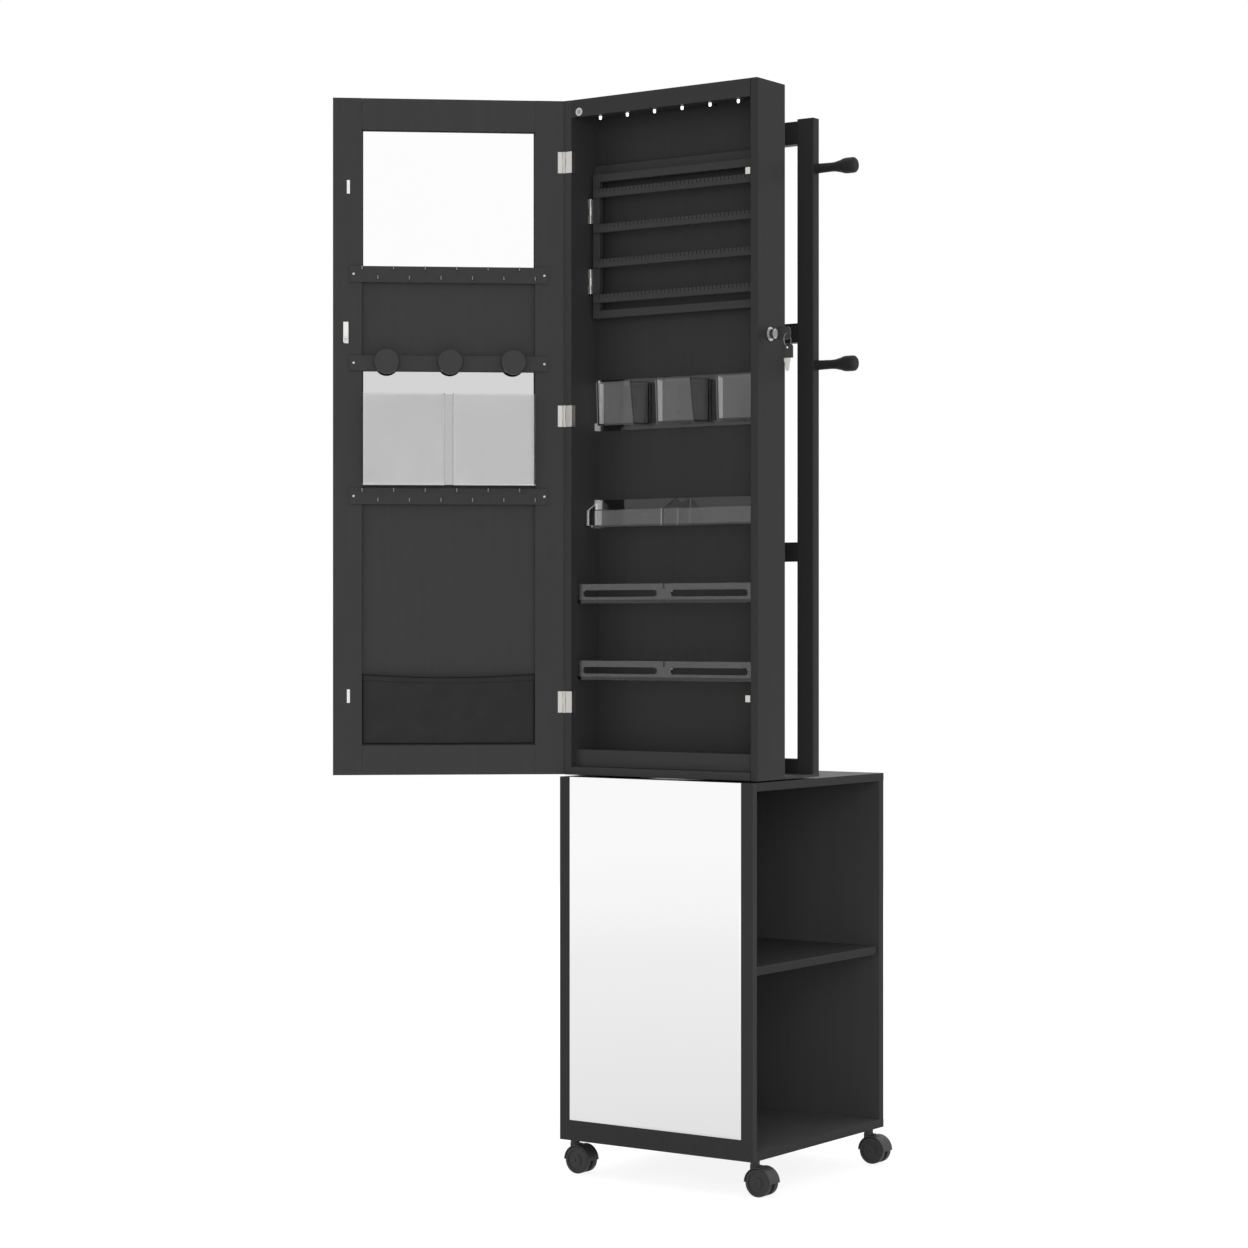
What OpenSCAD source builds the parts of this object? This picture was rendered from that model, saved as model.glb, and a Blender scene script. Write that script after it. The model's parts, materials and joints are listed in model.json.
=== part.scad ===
// Floor-standing jewelry cabinet: a castor base with a side-opening bay, a swivelling tower with a
// mirrored door that carries hooks, knobs, clear boxes and a fabric pocket, and a coat frame behind.
// Origin on the floor under the middle of the base. The front faces -Y and the width runs along X.

/* [Body] */
// Width of the base, the cabinet and the coat frame
body_w = 340; // [320:1:380]
// Thickness of the carcass boards
board_t = 12; // [10:0.5:15]
// Radius rounded off the boards' long edges
edge_r = 0.8; // [0.3:0.1:1.2]
// Gap kept round pieces that move past each other
move_gap = 0.5; // [0.3:0.1:0.8]
// Play left round pieces that are set into or between others
fit_gap = 0.3; // [0.1:0.05:0.5]

/* [Base] */
// Depth of the base, with its mirror
base_d = 372; // [350:1:420]
// Height of the base box without its castors
base_h = 539; // [500:1:600]
// Thickness of the mirror sheets on the outside
mirror_t = 2; // [1.5:0.1:2.5]
// Strip left bare on each side of the base mirror
base_mirror_side = 19; // [10:1:30]
// Strip left bare under the base mirror
base_mirror_foot = 30.5; // [15:0.5:50]
// Height of the shelf's top above the underside of the base
base_shelf_z = 276; // [180:1:340]
// How far the shelf's open edge stands back from the side
base_shelf_set = 3; // [1:0.5:10]

/* [Castors] */
// Height from the floor to the underside of the base
castor_h = 51; // [48:0.5:60]
// Diameter of the castor wheels
wheel_d = 40; // [36:0.5:42]
// Width of one wheel of a pair
wheel_t = 10; // [8:0.5:12]
// Thickness of the web between the two wheels
web_t = 6; // [5:0.5:8]
// Diameter of the wheel axle
axle_d = 5; // [4:0.5:6]
// Diameter of the swivel stem in the base board
stem_d = 8; // [6:0.5:10]
// Diameter of the neck above the wheels
neck_d = 13.6; // [12:0.2:16]
// How far the axle trails behind the stem
trail = 11.4; // [8:0.2:14]
// Distance from a side of the base to a castor stem
castor_side = 11; // [10:0.5:30]
// Distance from the front or rear of the base to a castor stem
castor_end = 26; // [20:0.5:60]

/* [Turntable] */
// Gap under the tower that the turntable leaves
tower_gap = 2.4; // [2:0.1:4]
// Outer diameter of the turntable rings
ring_d = 150; // [130:1:156]
// Inner diameter of the turntable rings
ring_bore = 90; // [70:1:100]
// Diameter of the bearing balls
ball_d = 4; // [3:0.1:4.2]
// Number of bearing balls
ball_n = 18; // [12:1:24]

/* [Tower cabinet] */
// Height of the tower cabinet
cab_h = 1003.6; // [950:0.2:1100]
// Depth of the tower cabinet without its door
cab_d = 76.5; // [70:0.5:95]
// Thickness of the back panel
back_t = 4.5; // [3:0.1:6]
// Height of the front fascia
fascia_h = 26; // [24:0.5:34]
// Thickness of the front fascia
fascia_t = 6; // [5:0.5:9]
// Height of the lip in front of the cabinet floor
lip_h = 25.6; // [15:0.2:40]
// Thickness of the lip
lip_t = 5; // [3:0.5:8]
// How far the lip and the shelf fences stand behind the front
fence_set = 13; // [11:0.5:16]
// Thickness of the plate between the cabinet and the coat frame
plate_t = 4; // [3:0.5:6]

/* [Lights] */
// Number of lamps in the strip
led_n = 6; // [3:1:8]
// How far the first lamp stands from the cabinet's left side
led_start = 42.4; // [36:0.1:60]
// How far the last lamp stands from the cabinet's right side
led_end = 30.1; // [20:0.1:60]
// Diameter of a lamp's lens
led_d = 4; // [3:0.5:6]
// Height of the switch above the underside of the tower
switch_z = 985; // [983:0.5:986]
// Distance of the switch from the left end of the fascia
switch_in = 14.9; // [14:0.1:28]
// Diameter of the switch's ring
switch_d = 12; // [11:0.5:14]
// Diameter of the switch's button
button_d = 7; // [5:0.5:8]
// Travel of the switch's button
button_travel = 1.5; // [1:0.1:2]

/* [Shelves] */
// Heights of the two shelves above the underside of the tower
shelf_low_z = 141.4; // [120:0.2:160]
// Height of the upper shelf above the underside of the tower
shelf_high_z = 255.2; // [240:0.2:290]
// Thickness of a shelf
shelf_t = 5; // [3:0.5:6]
// Height of a shelf's fence
fence_h = 28.4; // [24:0.2:34]
// Thickness of a shelf's fence
fence_t = 3; // [2:0.2:4]
// How far a fence ends from the cabinet's side
fence_end = 6.5; // [0.3:0.1:12]
// Width left between a slot and the end of its fence
slot_web = 5.9; // [3:0.1:20]
// Height of one slot in a fence
slot_h = 10; // [6:0.5:14]
// Width left between the two slots of a fence
slot_gap = 25.6; // [16:0.2:30]

/* [Clear pieces] */
// Wall of the clear cups, tray and boxes
clear_t = 3; // [2:0.1:3.5]
// Underside of the cup row above the underside of the tower
cups_z = 514.8; // [480:0.2:530]
// Height of the cup row
cups_h = 76; // [60:0.5:85]
// Spacing of the three cups
cup_pitch = 107; // [98:0.5:108]
// Width of a cup at its back
cup_back_w = 86; // [70:0.5:88]
// Width of a cup at its front
cup_front_w = 62; // [50:0.5:66]
// Depth of a cup at its rim
cup_rim_d = 33; // [20:0.5:38]
// Depth of a cup at its foot
cup_foot_d = 26; // [12:0.5:30]
// Underside of the tray above the underside of the tower
tray_z = 368.8; // [330:0.2:380]
// Height of the tray's front
tray_front_h = 25; // [18:0.5:30]
// Height of the tray's back
tray_back_h = 42; // [32:0.5:50]
// Depth of the tray
tray_d = 37.5; // [24:0.5:40]
// Distance of the tray's double divider from the middle
tray_split_x = -5; // [-60:1:60]
// Width of the slot between the tray's two dividers
tray_split_w = 22; // [10:0.5:30]
// Depth of the posts that hold the tray and the cups at their ends
end_post_d = 11.5; // [8:0.5:24]

/* [Earring rack] */
// Distance from the rack to the left wall
rack_side_gap = 7; // [6:0.5:20]
// Distance from the rack to the right wall
rack_end_gap = 8; // [8:0.5:30]
// Height of the rack
rack_h = 216; // [200:0.5:240]
// Underside of the rack above the underside of the tower
rack_z = 681.7; // [660:0.2:690]
// Thickness of the rack's frame
rack_t = 10; // [8:0.5:12]
// How far the rack's frame stands behind the front of the cabinet
rack_set = 46; // [40:0.5:48]
// Width of the rack's posts
rack_post_w = 12; // [8:0.5:16]
// Height of the rack's top and bottom rails
rack_rail_h = 12; // [8:0.5:16]
// Height of one slotted bar
bar_h = 13; // [10:0.5:16]
// Thickness of one slotted bar
bar_t = 6; // [4:0.5:7]
// Height of the lowest bar above the underside of the rack
bar_low = 22.5; // [18:0.5:26]
// Spacing of the four bars
bar_pitch = 52.5; // [46:0.5:54]
// Spacing of the slots in a bar
bar_slot_pitch = 7; // [4:0.5:12]
// Width of the rack hinges' leaves in height
rack_hinge_h = 37; // [28:0.5:44]
// Distance from the left wall to the rack's hinge axis
rack_axis_in = 4; // [3.6:0.1:5]
// Height of the lower rack hinge above the rack's foot
rack_hinge_low = 55.7; // [30:0.1:80]
// Spacing of the rack's hinges
rack_hinge_pitch = 105.2; // [80:0.1:130]

/* [Lock] */
// Height of the lock above the underside of the tower
lock_z = 640.1; // [630:0.1:650]
// How far the lock stands behind the front of the cabinet
lock_set = 34; // [30:0.5:40]
// Diameter of the lock's flange
lock_flange_d = 20; // [18:0.5:24]
// Diameter of the lock's barrel
lock_barrel_d = 14; // [12:0.5:16]
// Diameter of the lock's turning core
lock_core_d = 10; // [8:0.5:11]
// How far the lock's head stands out of the side
lock_head = 9; // [6:0.5:12]
// Width of the key's bow
bow_w = 18.6; // [14:0.2:22]
// Length of the key's bow
bow_l = 21; // [14:0.5:24]
// Thickness of the key's bow
bow_t = 2.2; // [1.6:0.1:2.6]
// Outer diameter of the key ring
ring_od = 20; // [16:0.5:24]

/* [Door] */
// Width of the door
door_w = 342.5; // [322:0.5:383]
// Total thickness of the door with its mirror
door_t = 13.2; // [12:0.1:14]
// Width of the door's stiles
stile_w = 43; // [36:0.5:50]
// Height of the door's top rail
door_top_rail = 46.5; // [40:0.5:60]
// Height of the door's bottom rail
door_foot_rail = 44.6; // [38:0.2:60]
// Thickness of the door's inner panel
door_panel_t = 3; // [2:0.2:4]
// Opening of the door at rest in degrees
door_open = 139.8; // [90:0.2:175]
// Gap between the closed door and the cabinet
door_gap = 0.8; // [0.7:0.1:1.2]
// Height of a door hinge
hinge_h = 31.5; // [26:0.5:40]
// Thickness of the hinge leaves
leaf_t = 1.2; // [0.8:0.1:1.6]
// Radius of the hinge knuckles
knuckle_r = 2.2; // [2:0.1:2.4]
// Diameter of the hinge pins
pin_d = 2; // [1.6:0.1:2.4]

/* [Door fittings] */
// Length of the hook and knob strips
strip_l = 294; // [270:0.5:300]
// Height of a hook strip
strip_h = 24; // [20:0.5:30]
// Thickness of a strip
strip_t = 3; // [2:0.2:4]
// Underside of the upper hook strip above the underside of the tower
strip_high_z = 730.6; // [715:0.2:745]
// Underside of the lower hook strip above the underside of the tower
strip_low_z = 401.8; // [390:0.2:405]
// Underside of the knob strip above the underside of the tower
knob_strip_z = 599.6; // [590:0.2:606]
// Height of the knob strip
knob_strip_h = 22.7; // [18:0.1:28]
// Spacing of the hooks along a row
hook_pitch = 46.6; // [30:0.2:48]
// Diameter of a hook's wire
hook_d = 1.8; // [1.4:0.1:3]
// How far a hook stands out
hook_l = 8; // [6:0.5:12]
// Diameter of a knob
knob_d = 37; // [28:0.5:40]
// How far a knob stands out of its strip
knob_l = 14; // [10:0.5:18]
// Spacing of the knobs
knob_pitch = 93.9; // [70:0.1:94]
// Width of a clear box on the door
box_w = 122; // [100:0.5:125]
// Height of a clear box on the door
box_h = 136.5; // [110:0.5:150]
// Depth of a clear box on the door
box_d = 24; // [18:0.5:27]
// Thickness of the mirrors inside the door
inner_mirror_t = 2; // [1.5:0.1:3]
// Height of the fabric pocket
pocket_h = 103; // [80:0.5:120]
// Thickness of the pocket's cloth
cloth_t = 1.5; // [1.2:0.1:2]
// How far the pocket stands out at its mouth
pocket_bulge = 11; // [9:0.5:12]

/* [Coat frame] */
// Distance from the cabinet's back to the coat frame
frame_gap = 76.5; // [60:0.5:100]
// Thickness of the coat frame
frame_t = 17; // [14:0.5:22]
// Width of the coat frame's posts
post_w = 28; // [22:0.5:36]
// Height of the posts above the underside of the tower
post_top = 967.2; // [900:0.2:1000]
// Heights of the rails' undersides above the underside of the tower
rail_z = [316.3, 638.7];
// Height of the middle rails
rail_h = 28.4; // [22:0.2:36]
// Underside of the top rail above the underside of the tower
top_rail_z = 930.6; // [880:0.2:932]
// Height of the top rail
top_rail_h = 33.8; // [26:0.2:34]
// Height of the bottom rail
foot_rail_h = 21.5; // [16:0.5:30]
// Heights of the pegs above the underside of the tower
peg_z = [604.3, 893.1];
// Length of a peg
peg_l = 68; // [50:0.5:80]
// Diameter of a peg at its root
peg_root_d = 14.6; // [10:0.2:16]
// Diameter of a peg at its end
peg_end_d = 23; // [17:0.5:26]
// Diameter of the spacers between the cabinet and the coat frame
spacer_d = 14; // [10:0.5:18]

/* [Hidden] */
$fn = 48;

half_w = body_w / 2;
seam = 0.1;
front_y = -base_d / 2;
rear_y = base_d / 2;
carcass_y = front_y + mirror_t + board_t;
base_z = castor_h;
base_top = castor_h + base_h;
tower_z = base_top + tower_gap;
cab_front = carcass_y;
cab_rear = carcass_y + cab_d;
cab_back_face = cab_rear - back_t;
inner_w = body_w - 2 * board_t;
frame_y = cab_rear + frame_gap;
turn_y = (cab_front + frame_y + frame_t) / 2;
fence_y = cab_front + fence_set;
slot_l = inner_w / 2 - fence_end - slot_web - slot_gap / 2;
switch_x = -inner_w / 2 + switch_in;
led_x = -inner_w / 2 + led_start;
led_pitch = (inner_w - led_start - led_end) / (led_n - 1);
black = [0.09, 0.09, 0.09];
silver = [0.78, 0.78, 0.77];
smoke = [0.45, 0.45, 0.46, 0.5];

// A square-ended bar with rounded long edges, along "x", "y" or "z", from its lowest corner
module plank(size, along, r = edge_r) {
  a = along == "x" ? [size[1], size[2], size[0]]
    : along == "y" ? [size[2], size[0], size[1]]
    : size;
  place = along == "x" ? [[0, 0, 1], [1, 0, 0], [0, 1, 0]]
    : along == "y" ? [[0, 1, 0], [0, 0, 1], [1, 0, 0]]
    : [[1, 0, 0], [0, 1, 0], [0, 0, 1]];
  multmatrix([for (row = place) concat(row, [0])])
    linear_extrude(a[2]) rounded_rect(a[0], a[1], r);
}

module rounded_rect(w, h, r) {
  translate([r, 0]) square([w - 2 * r, h]);
  translate([0, r]) square([w, h - 2 * r]);
  for (x = [r, w - r], y = [r, h - r]) translate([x, y]) circle(r);
}

// A cylinder along X or Y instead of Z
module rod_x(d, l) { rotate([0, 90, 0]) cylinder(d = d, h = l); }
module rod_y(d, l) { rotate([-90, 0, 0]) cylinder(d = d, h = l); }

// Base box
inner_base_z = base_z + board_t;
inner_base_h = base_h - 2 * board_t;
bay_d = base_d - mirror_t - 2 * board_t;
castor_at = [
  [-half_w + castor_side, front_y + castor_end], [half_w - castor_side, front_y + castor_end],
  [-half_w + castor_side, rear_y - castor_end], [half_w - castor_side, rear_y - castor_end]
];
stem_seat = 8;

module base_bottom_panel() {
  color(black) difference() {
    translate([-half_w, carcass_y, base_z]) plank([body_w, base_d - mirror_t - board_t, board_t], "x");
    for (p = castor_at) translate([p[0], p[1], base_z - 1])
      cylinder(d = stem_d + 0.1, h = stem_seat + 1 + fit_gap);
  }
}

pocket_r = ring_d / 2 + 2;
pocket_deep = 7;

module base_top_panel() {
  color(black) difference() {
    translate([-half_w, carcass_y, base_top - board_t])
      plank([body_w, base_d - mirror_t - board_t, board_t], "x");
    translate([0, turn_y, base_top - pocket_deep]) cylinder(r = pocket_r, h = pocket_deep + 1, $fn = 96);
  }
}

module base_left_panel() {
  color(black) translate([-half_w, carcass_y, inner_base_z]) plank([board_t, bay_d, inner_base_h], "z");
}

module base_back_panel() {
  color(black) translate([-half_w, rear_y - board_t, inner_base_z])
    plank([body_w, board_t, inner_base_h], "z");
}

module base_front_panel() {
  color(black) translate([-half_w, front_y + mirror_t, base_z]) plank([body_w, board_t, base_h], "z");
}

module base_front_mirror() {
  color("white") translate([-half_w + base_mirror_side, front_y, base_z + base_mirror_foot])
    cube([body_w - 2 * base_mirror_side, mirror_t, base_h - base_mirror_foot]);
}

module base_shelf() {
  color(black) translate([-half_w + board_t, carcass_y, base_z + base_shelf_z - board_t])
    plank([body_w - board_t - base_shelf_set, bay_d, board_t], "y");
}

// Castors: a web with a hood over two wheels, an axle through it and a stem above
wheel_r = wheel_d / 2;
axle_play = 0.06;
hood_gap = 0.7;
hood_t = 1.5;
hood_r = wheel_r + hood_gap;
wheel_side = web_t / 2 + fit_gap;
pair_w = 2 * (wheel_side + wheel_t);

module castor_fork(p) {
  neck_foot = base_z - 8;
  color([0.16, 0.16, 0.17]) translate([p[0], p[1], 0]) {
    translate([0, 0, neck_foot]) cylinder(d = neck_d, h = base_z - neck_foot - fit_gap);
    translate([0, 0, neck_foot]) cylinder(d = stem_d, h = base_z - neck_foot + stem_seat);
    translate([trail, -web_t / 2, wheel_r]) rod_y(wheel_d - 8, web_t);
    translate([-neck_d / 2, -web_t / 2, wheel_r + 4])
      cube([trail + neck_d / 2, web_t, neck_foot - wheel_r - 3]);
    castor_hood();
    translate([trail, -pair_w / 2 + 1, wheel_r]) rod_y(axle_d, pair_w - 2);
  }
}

// A shell over the upper half of both wheels
module castor_hood() {
  translate([trail, 0, wheel_r]) intersection() {
    difference() {
      translate([0, -pair_w / 2, 0]) rod_y(2 * (hood_r + hood_t), pair_w);
      for (side = [-1, 1]) translate([0, side < 0 ? -pair_w : web_t / 2, 0])
        rod_y(2 * hood_r, pair_w - web_t / 2);
    }
    translate([-2 * hood_r, -pair_w, 0]) cube([4 * hood_r, 2 * pair_w, 2 * hood_r]);
  }
}

module castor_wheels(p) {
  color([0.2, 0.2, 0.21]) translate([p[0] + trail, p[1], wheel_r]) for (side = [-1, 1]) {
    start = side < 0 ? -wheel_side - wheel_t : wheel_side;
    face = side < 0 ? start : start + wheel_t;
    difference() {
      translate([0, start, 0]) rotate([-90, 0, 0]) rotate_extrude($fn = 64)
        wheel_outline();
      translate([0, start - 1, 0]) rod_y(axle_d + 2 * axle_play, wheel_t + 2);
      translate([0, face - 1.2, 0]) rotate([-90, 0, 0]) difference() {
        cylinder(r = wheel_r - 5, h = 2.4);
        translate([0, 0, -1]) cylinder(r = wheel_r - 12, h = 5);
      }
    }
  }
}

module wheel_outline() {
  round_r = 1.5;
  square([wheel_r - round_r, wheel_t]);
  translate([0, round_r]) square([wheel_r, wheel_t - 2 * round_r]);
  for (y = [round_r, wheel_t - round_r]) translate([wheel_r - round_r, y]) circle(round_r);
}

// Turntable: two grooved rings with balls between them
ball_ring_r = (ring_d + ring_bore) / 4 + 1;
lower_ring_top = base_top - 1;
upper_ring_foot = lower_ring_top + 0.6;
ball_z = (lower_ring_top + upper_ring_foot) / 2;
ball_play = 0.05;

module turntable_lower() {
  color(silver) translate([0, turn_y, 0]) {
    difference() {
      translate([0, 0, base_top - pocket_deep])
        ring(ring_d + 2, ring_bore, lower_ring_top - base_top + pocket_deep);
      ball_groove();
    }
    for (i = [0:ball_n - 1]) rotate([0, 0, i * 360 / ball_n]) translate([ball_ring_r, 0, ball_z])
      sphere(d = ball_d, $fn = 24);
  }
}

module turntable_upper() {
  color(silver) translate([0, turn_y, 0]) difference() {
    translate([0, 0, upper_ring_foot]) ring(ring_d, ring_bore, tower_z - upper_ring_foot);
    ball_groove();
  }
}

module ring(od, bore, h) {
  difference() {
    cylinder(d = od, h = h, $fn = 96);
    translate([0, 0, -1]) cylinder(d = bore, h = h + 2, $fn = 96);
  }
}

module ball_groove() {
  translate([0, 0, ball_z]) rotate_extrude($fn = 96) translate([ball_ring_r, 0])
    circle(d = ball_d + 2 * ball_play, $fn = 24);
}

module tower_plate() {
  color(black) translate([-half_w, cab_rear, tower_z])
    plank([body_w, frame_gap + frame_t, plate_t], "x", 0.6);
}

// Tower cabinet carcass
hinge_x = -half_w - 0.3;
hinge_y = cab_front - door_gap / 2;
hinge_at = [108.1, 533.9, 911.8];
knuckle_h = hinge_h / 3;
inner_leaf = 9;
door_leaf = 9.4;
bead_r = 0.9;

// The room cut out of both boards for one hinge's knuckle
module knuckle_room(z) {
  translate([hinge_x, hinge_y, z - hinge_h / 2 - fit_gap])
    cylinder(r = knuckle_r + fit_gap, h = hinge_h + 2 * fit_gap);
}

module cabinet_left_side() {
  color(black) difference() {
    translate([-half_w, cab_front, tower_z]) plank([board_t, cab_d, cab_h], "z");
    translate([hinge_x, hinge_y, tower_z - 1]) cylinder(r = bead_r + 0.1, h = cab_h + 2);
    for (z = hinge_at) {
      knuckle_room(tower_z + z);
      translate([-half_w - 1, cab_front - 1, tower_z + z - hinge_h / 2])
        cube([board_t + 2, 1 + leaf_t, hinge_h]);
    }
  }
}

lock_y = cab_front + lock_set;

module cabinet_right_side() {
  color(black) difference() {
    translate([half_w - board_t, cab_front, tower_z]) plank([board_t, cab_d, cab_h], "z", 2.5);
    translate([half_w - board_t - 1, lock_y, tower_z + lock_z]) rod_x(lock_barrel_d + 0.2, board_t + 2);
  }
}

module cabinet_top() {
  color(black) translate([-inner_w / 2, cab_front + fascia_t, tower_z + cab_h - board_t])
    plank([inner_w, cab_d - fascia_t, board_t], "x");
}

module cabinet_bottom() {
  color(black) translate([-inner_w / 2, cab_front, tower_z]) plank([inner_w, cab_d, board_t], "x");
}

module cabinet_back() {
  color(black) translate([-inner_w / 2, cab_back_face, tower_z + board_t])
    cube([inner_w, back_t, cab_h - 2 * board_t]);
}

module cabinet_fascia() {
  color(black) difference() {
    translate([-inner_w / 2, cab_front, tower_z + cab_h - fascia_h])
      plank([inner_w, fascia_t, fascia_h], "x", 0.5);
    translate([switch_x, cab_front - 1, tower_z + switch_z]) rod_y(button_d + 2.4, fascia_t + 2);
  }
}

module cabinet_lip() {
  color(black) translate([-inner_w / 2, fence_y, tower_z + board_t]) plank([inner_w, lip_t, lip_h], "x");
}

// Lights, their switch and their battery box, all hung under the top board
ceiling = tower_z + cab_h - board_t;
led_y = front_y + 30;
led_bar_w = 12;
led_bar_foot = tower_z + cab_h - fascia_h + 0.2;
lens_l = 5;

module led_strip() {
  margin = 14;
  color([0.2, 0.2, 0.2])
    translate([led_x - margin, led_y - led_bar_w / 2, led_bar_foot])
    cube([(led_n - 1) * led_pitch + 2 * margin, led_bar_w, ceiling - led_bar_foot]);
}

module led_lenses() {
  color("white") for (i = [0:led_n - 1])
    translate([led_x + i * led_pitch, led_y, led_bar_foot - lens_l]) difference() {
      union() {
        translate([0, 0, led_d / 2]) cylinder(d = led_d, h = lens_l);
        translate([0, 0, led_d / 2]) sphere(d = led_d);
      }
      translate([0, 0, lens_l]) cylinder(d = led_d + 2, h = 2 * led_d);
    }
}

battery_size = [120, 38, 9];

module battery_box() {
  color([0.12, 0.12, 0.12])
    translate([-battery_size[0] / 2, led_y + led_bar_w / 2 + 3, ceiling - battery_size[2]])
    plank(battery_size, "x");
}

bezel_lip = 0.4;
button_out = 0.3;

module switch_ring() {
  tail_l = 14;
  color(silver) translate([switch_x, cab_front, tower_z + switch_z]) difference() {
    union() {
      translate([0, -bezel_lip, 0]) rod_y(switch_d, bezel_lip);
      rod_y(button_d + 2.4, tail_l);
    }
    translate([0, -1, 0]) rod_y(button_d + 0.1, 1 + fascia_t + 4);
  }
}

module switch_button() {
  color(silver) translate([switch_x, cab_front - button_out, tower_z + switch_z])
    rod_y(button_d, button_out + fascia_t + 4 - button_travel - fit_gap);
}

// Hinges of the door: leaves let into both boards, knuckles round one pin
module hinge_barrel(z, first, last, d) {
  translate([hinge_x, hinge_y, z - hinge_h / 2 + first * knuckle_h + (first > 0 ? 0.15 : 0)])
    cylinder(r = d / 2, h = (last - first) * knuckle_h - 0.15);
}

module cabinet_hinge_leaves() {
  color(silver) {
    for (z = hinge_at) difference() {
      union() {
        translate([hinge_x, cab_front, tower_z + z - hinge_h / 2])
          cube([board_t - hinge_x - half_w, leaf_t, hinge_h]);
        translate([-half_w + board_t, cab_front, tower_z + z - hinge_h / 2])
          cube([leaf_t, inner_leaf, hinge_h]);
        hinge_barrel(tower_z + z, 0, 1, 2 * knuckle_r);
        hinge_barrel(tower_z + z, 2, 3, 2 * knuckle_r);
        for (part = [0, 2]) translate([hinge_x, hinge_y, tower_z + z - hinge_h / 2 + part * knuckle_h + 0.15])
          cube([knuckle_r, 1.2, knuckle_h - 0.3]);
      }
      translate([hinge_x, hinge_y, tower_z + z - hinge_h]) cylinder(d = pin_d + 0.1, h = 2 * hinge_h);
      translate([hinge_x, hinge_y, tower_z + z - knuckle_h / 2 - 0.1])
        cylinder(r = knuckle_r + fit_gap, h = knuckle_h + 0.2);
    }
    for (z = rack_hinge_at) rack_wall_leaf(z);
  }
}

module hinge_pins() {
  color(silver) {
    for (z = hinge_at) translate([hinge_x, hinge_y, tower_z + z - hinge_h / 2])
      cylinder(d = pin_d, h = hinge_h);
    for (z = rack_hinge_at) translate([rack_axis_x, rack_axis_y, z - rack_hinge_h / 2])
      cylinder(d = rack_pin_d, h = rack_hinge_h);
  }
}

catch_z = [117.5, 871.7];
catch_h = 10;
catch_w = 8;

module magnet_catches() {
  color(silver) for (z = catch_z)
    translate([inner_w / 2 - catch_w, cab_front + fit_gap, tower_z + z - catch_h / 2])
    plank([catch_w, 14, catch_h], "x", 0.6);
}

// Shelves with slotted fences
module shelf_boards() {
  color(smoke) for (z = [shelf_low_z, shelf_high_z])
    translate([-inner_w / 2, fence_y + fence_t, tower_z + z])
    cube([inner_w, cab_back_face - fence_y - fence_t, shelf_t]);
}

module shelf_fences() {
  notch_w = 1.4;
  notch_h = 8;
  slot_r = slot_h / 2;
  color(smoke) for (z = [shelf_low_z, shelf_high_z]) translate([0, fence_y, tower_z + z]) difference() {
    translate([-inner_w / 2 + fence_end, 0, 0]) cube([inner_w - 2 * fence_end, fence_t, fence_h]);
    for (side = [-1, 1]) {
      near = side * (slot_gap / 2 + slot_r);
      far = side * (slot_gap / 2 + slot_l - slot_r);
      translate([min(near, far), -1, fence_h / 2 - slot_r]) cube([abs(far - near), fence_t + 2, slot_h]);
      for (x = [near, far]) translate([x, -1, fence_h / 2]) rod_y(slot_h, fence_t + 2);
    }
    translate([-notch_w / 2, -1, fence_h - notch_h]) cube([notch_w, fence_t + 2, notch_h + 1]);
  }
}

// Clear tray with slanted ends and two dividers, against the back panel
end_post_t = 4;
clear_w = inner_w - 2 * end_post_t;
clear_half = clear_w / 2;
function end_post_x(side) = side * (clear_half + end_post_t / 2) - end_post_t / 2;

module clear_tray() {
  split_x0 = tray_split_x - tray_split_w / 2;
  split_x1 = tray_split_x + tray_split_w / 2;
  color(smoke) translate([0, cab_back_face - tray_d, tower_z + tray_z]) {
    difference() {
      translate([-clear_half, 0, 0]) rotate([90, 0, 90]) linear_extrude(clear_w) polygon([
        [0, 0], [tray_d, 0], [tray_d, tray_back_h], [tray_d - clear_t, tray_back_h], [0, tray_front_h]
      ]);
      tray_hollow(-clear_half + clear_t, split_x0 - clear_t);
      tray_hollow(split_x0, split_x1);
      tray_hollow(split_x1 + clear_t, clear_half - clear_t);
    }
    for (side = [-1, 1]) translate([end_post_x(side), tray_d - end_post_d, 0])
      cube([end_post_t, end_post_d, tray_back_h]);
  }
}

module tray_hollow(x0, x1) {
  translate([x0, clear_t, clear_t]) cube([x1 - x0, tray_d - 2 * clear_t, tray_back_h]);
}

// Row of three clear cups that lean back towards their feet
end_foot_h = 11;
end_strip_d = clear_t;

module clear_cups() {
  color(smoke) translate([0, cab_back_face, tower_z + cups_z]) {
    difference() {
      translate([-clear_half, -clear_t, 0]) cube([clear_w, clear_t, cups_h]);
      for (x = [-1, 1]) translate([x * cup_pitch / 2 - (cup_pitch - cup_back_w - 4) / 2, -clear_t - 1, 8])
        cube([cup_pitch - cup_back_w - 4, clear_t + 2, cups_h - 16]);
    }
    for (side = [-1, 1]) translate([end_post_x(side), 0, 0]) {
      translate([0, -end_post_d, 0]) cube([end_post_t, end_post_d, end_foot_h]);
      translate([0, -end_strip_d, 0]) cube([end_post_t, end_strip_d, cups_h]);
    }
    for (i = [-1:1]) translate([i * cup_pitch, -clear_t, 6]) difference() {
      wedge(cup_back_w, cup_front_w, cup_foot_d, cup_rim_d, cups_h - 12);
      translate([0, 1, clear_t]) wedge(
        cup_back_w - 2 * clear_t, cup_front_w - 2 * clear_t,
        cup_foot_d - clear_t + 1, cup_rim_d - clear_t + 2, cups_h
      );
    }
  }
}

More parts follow.
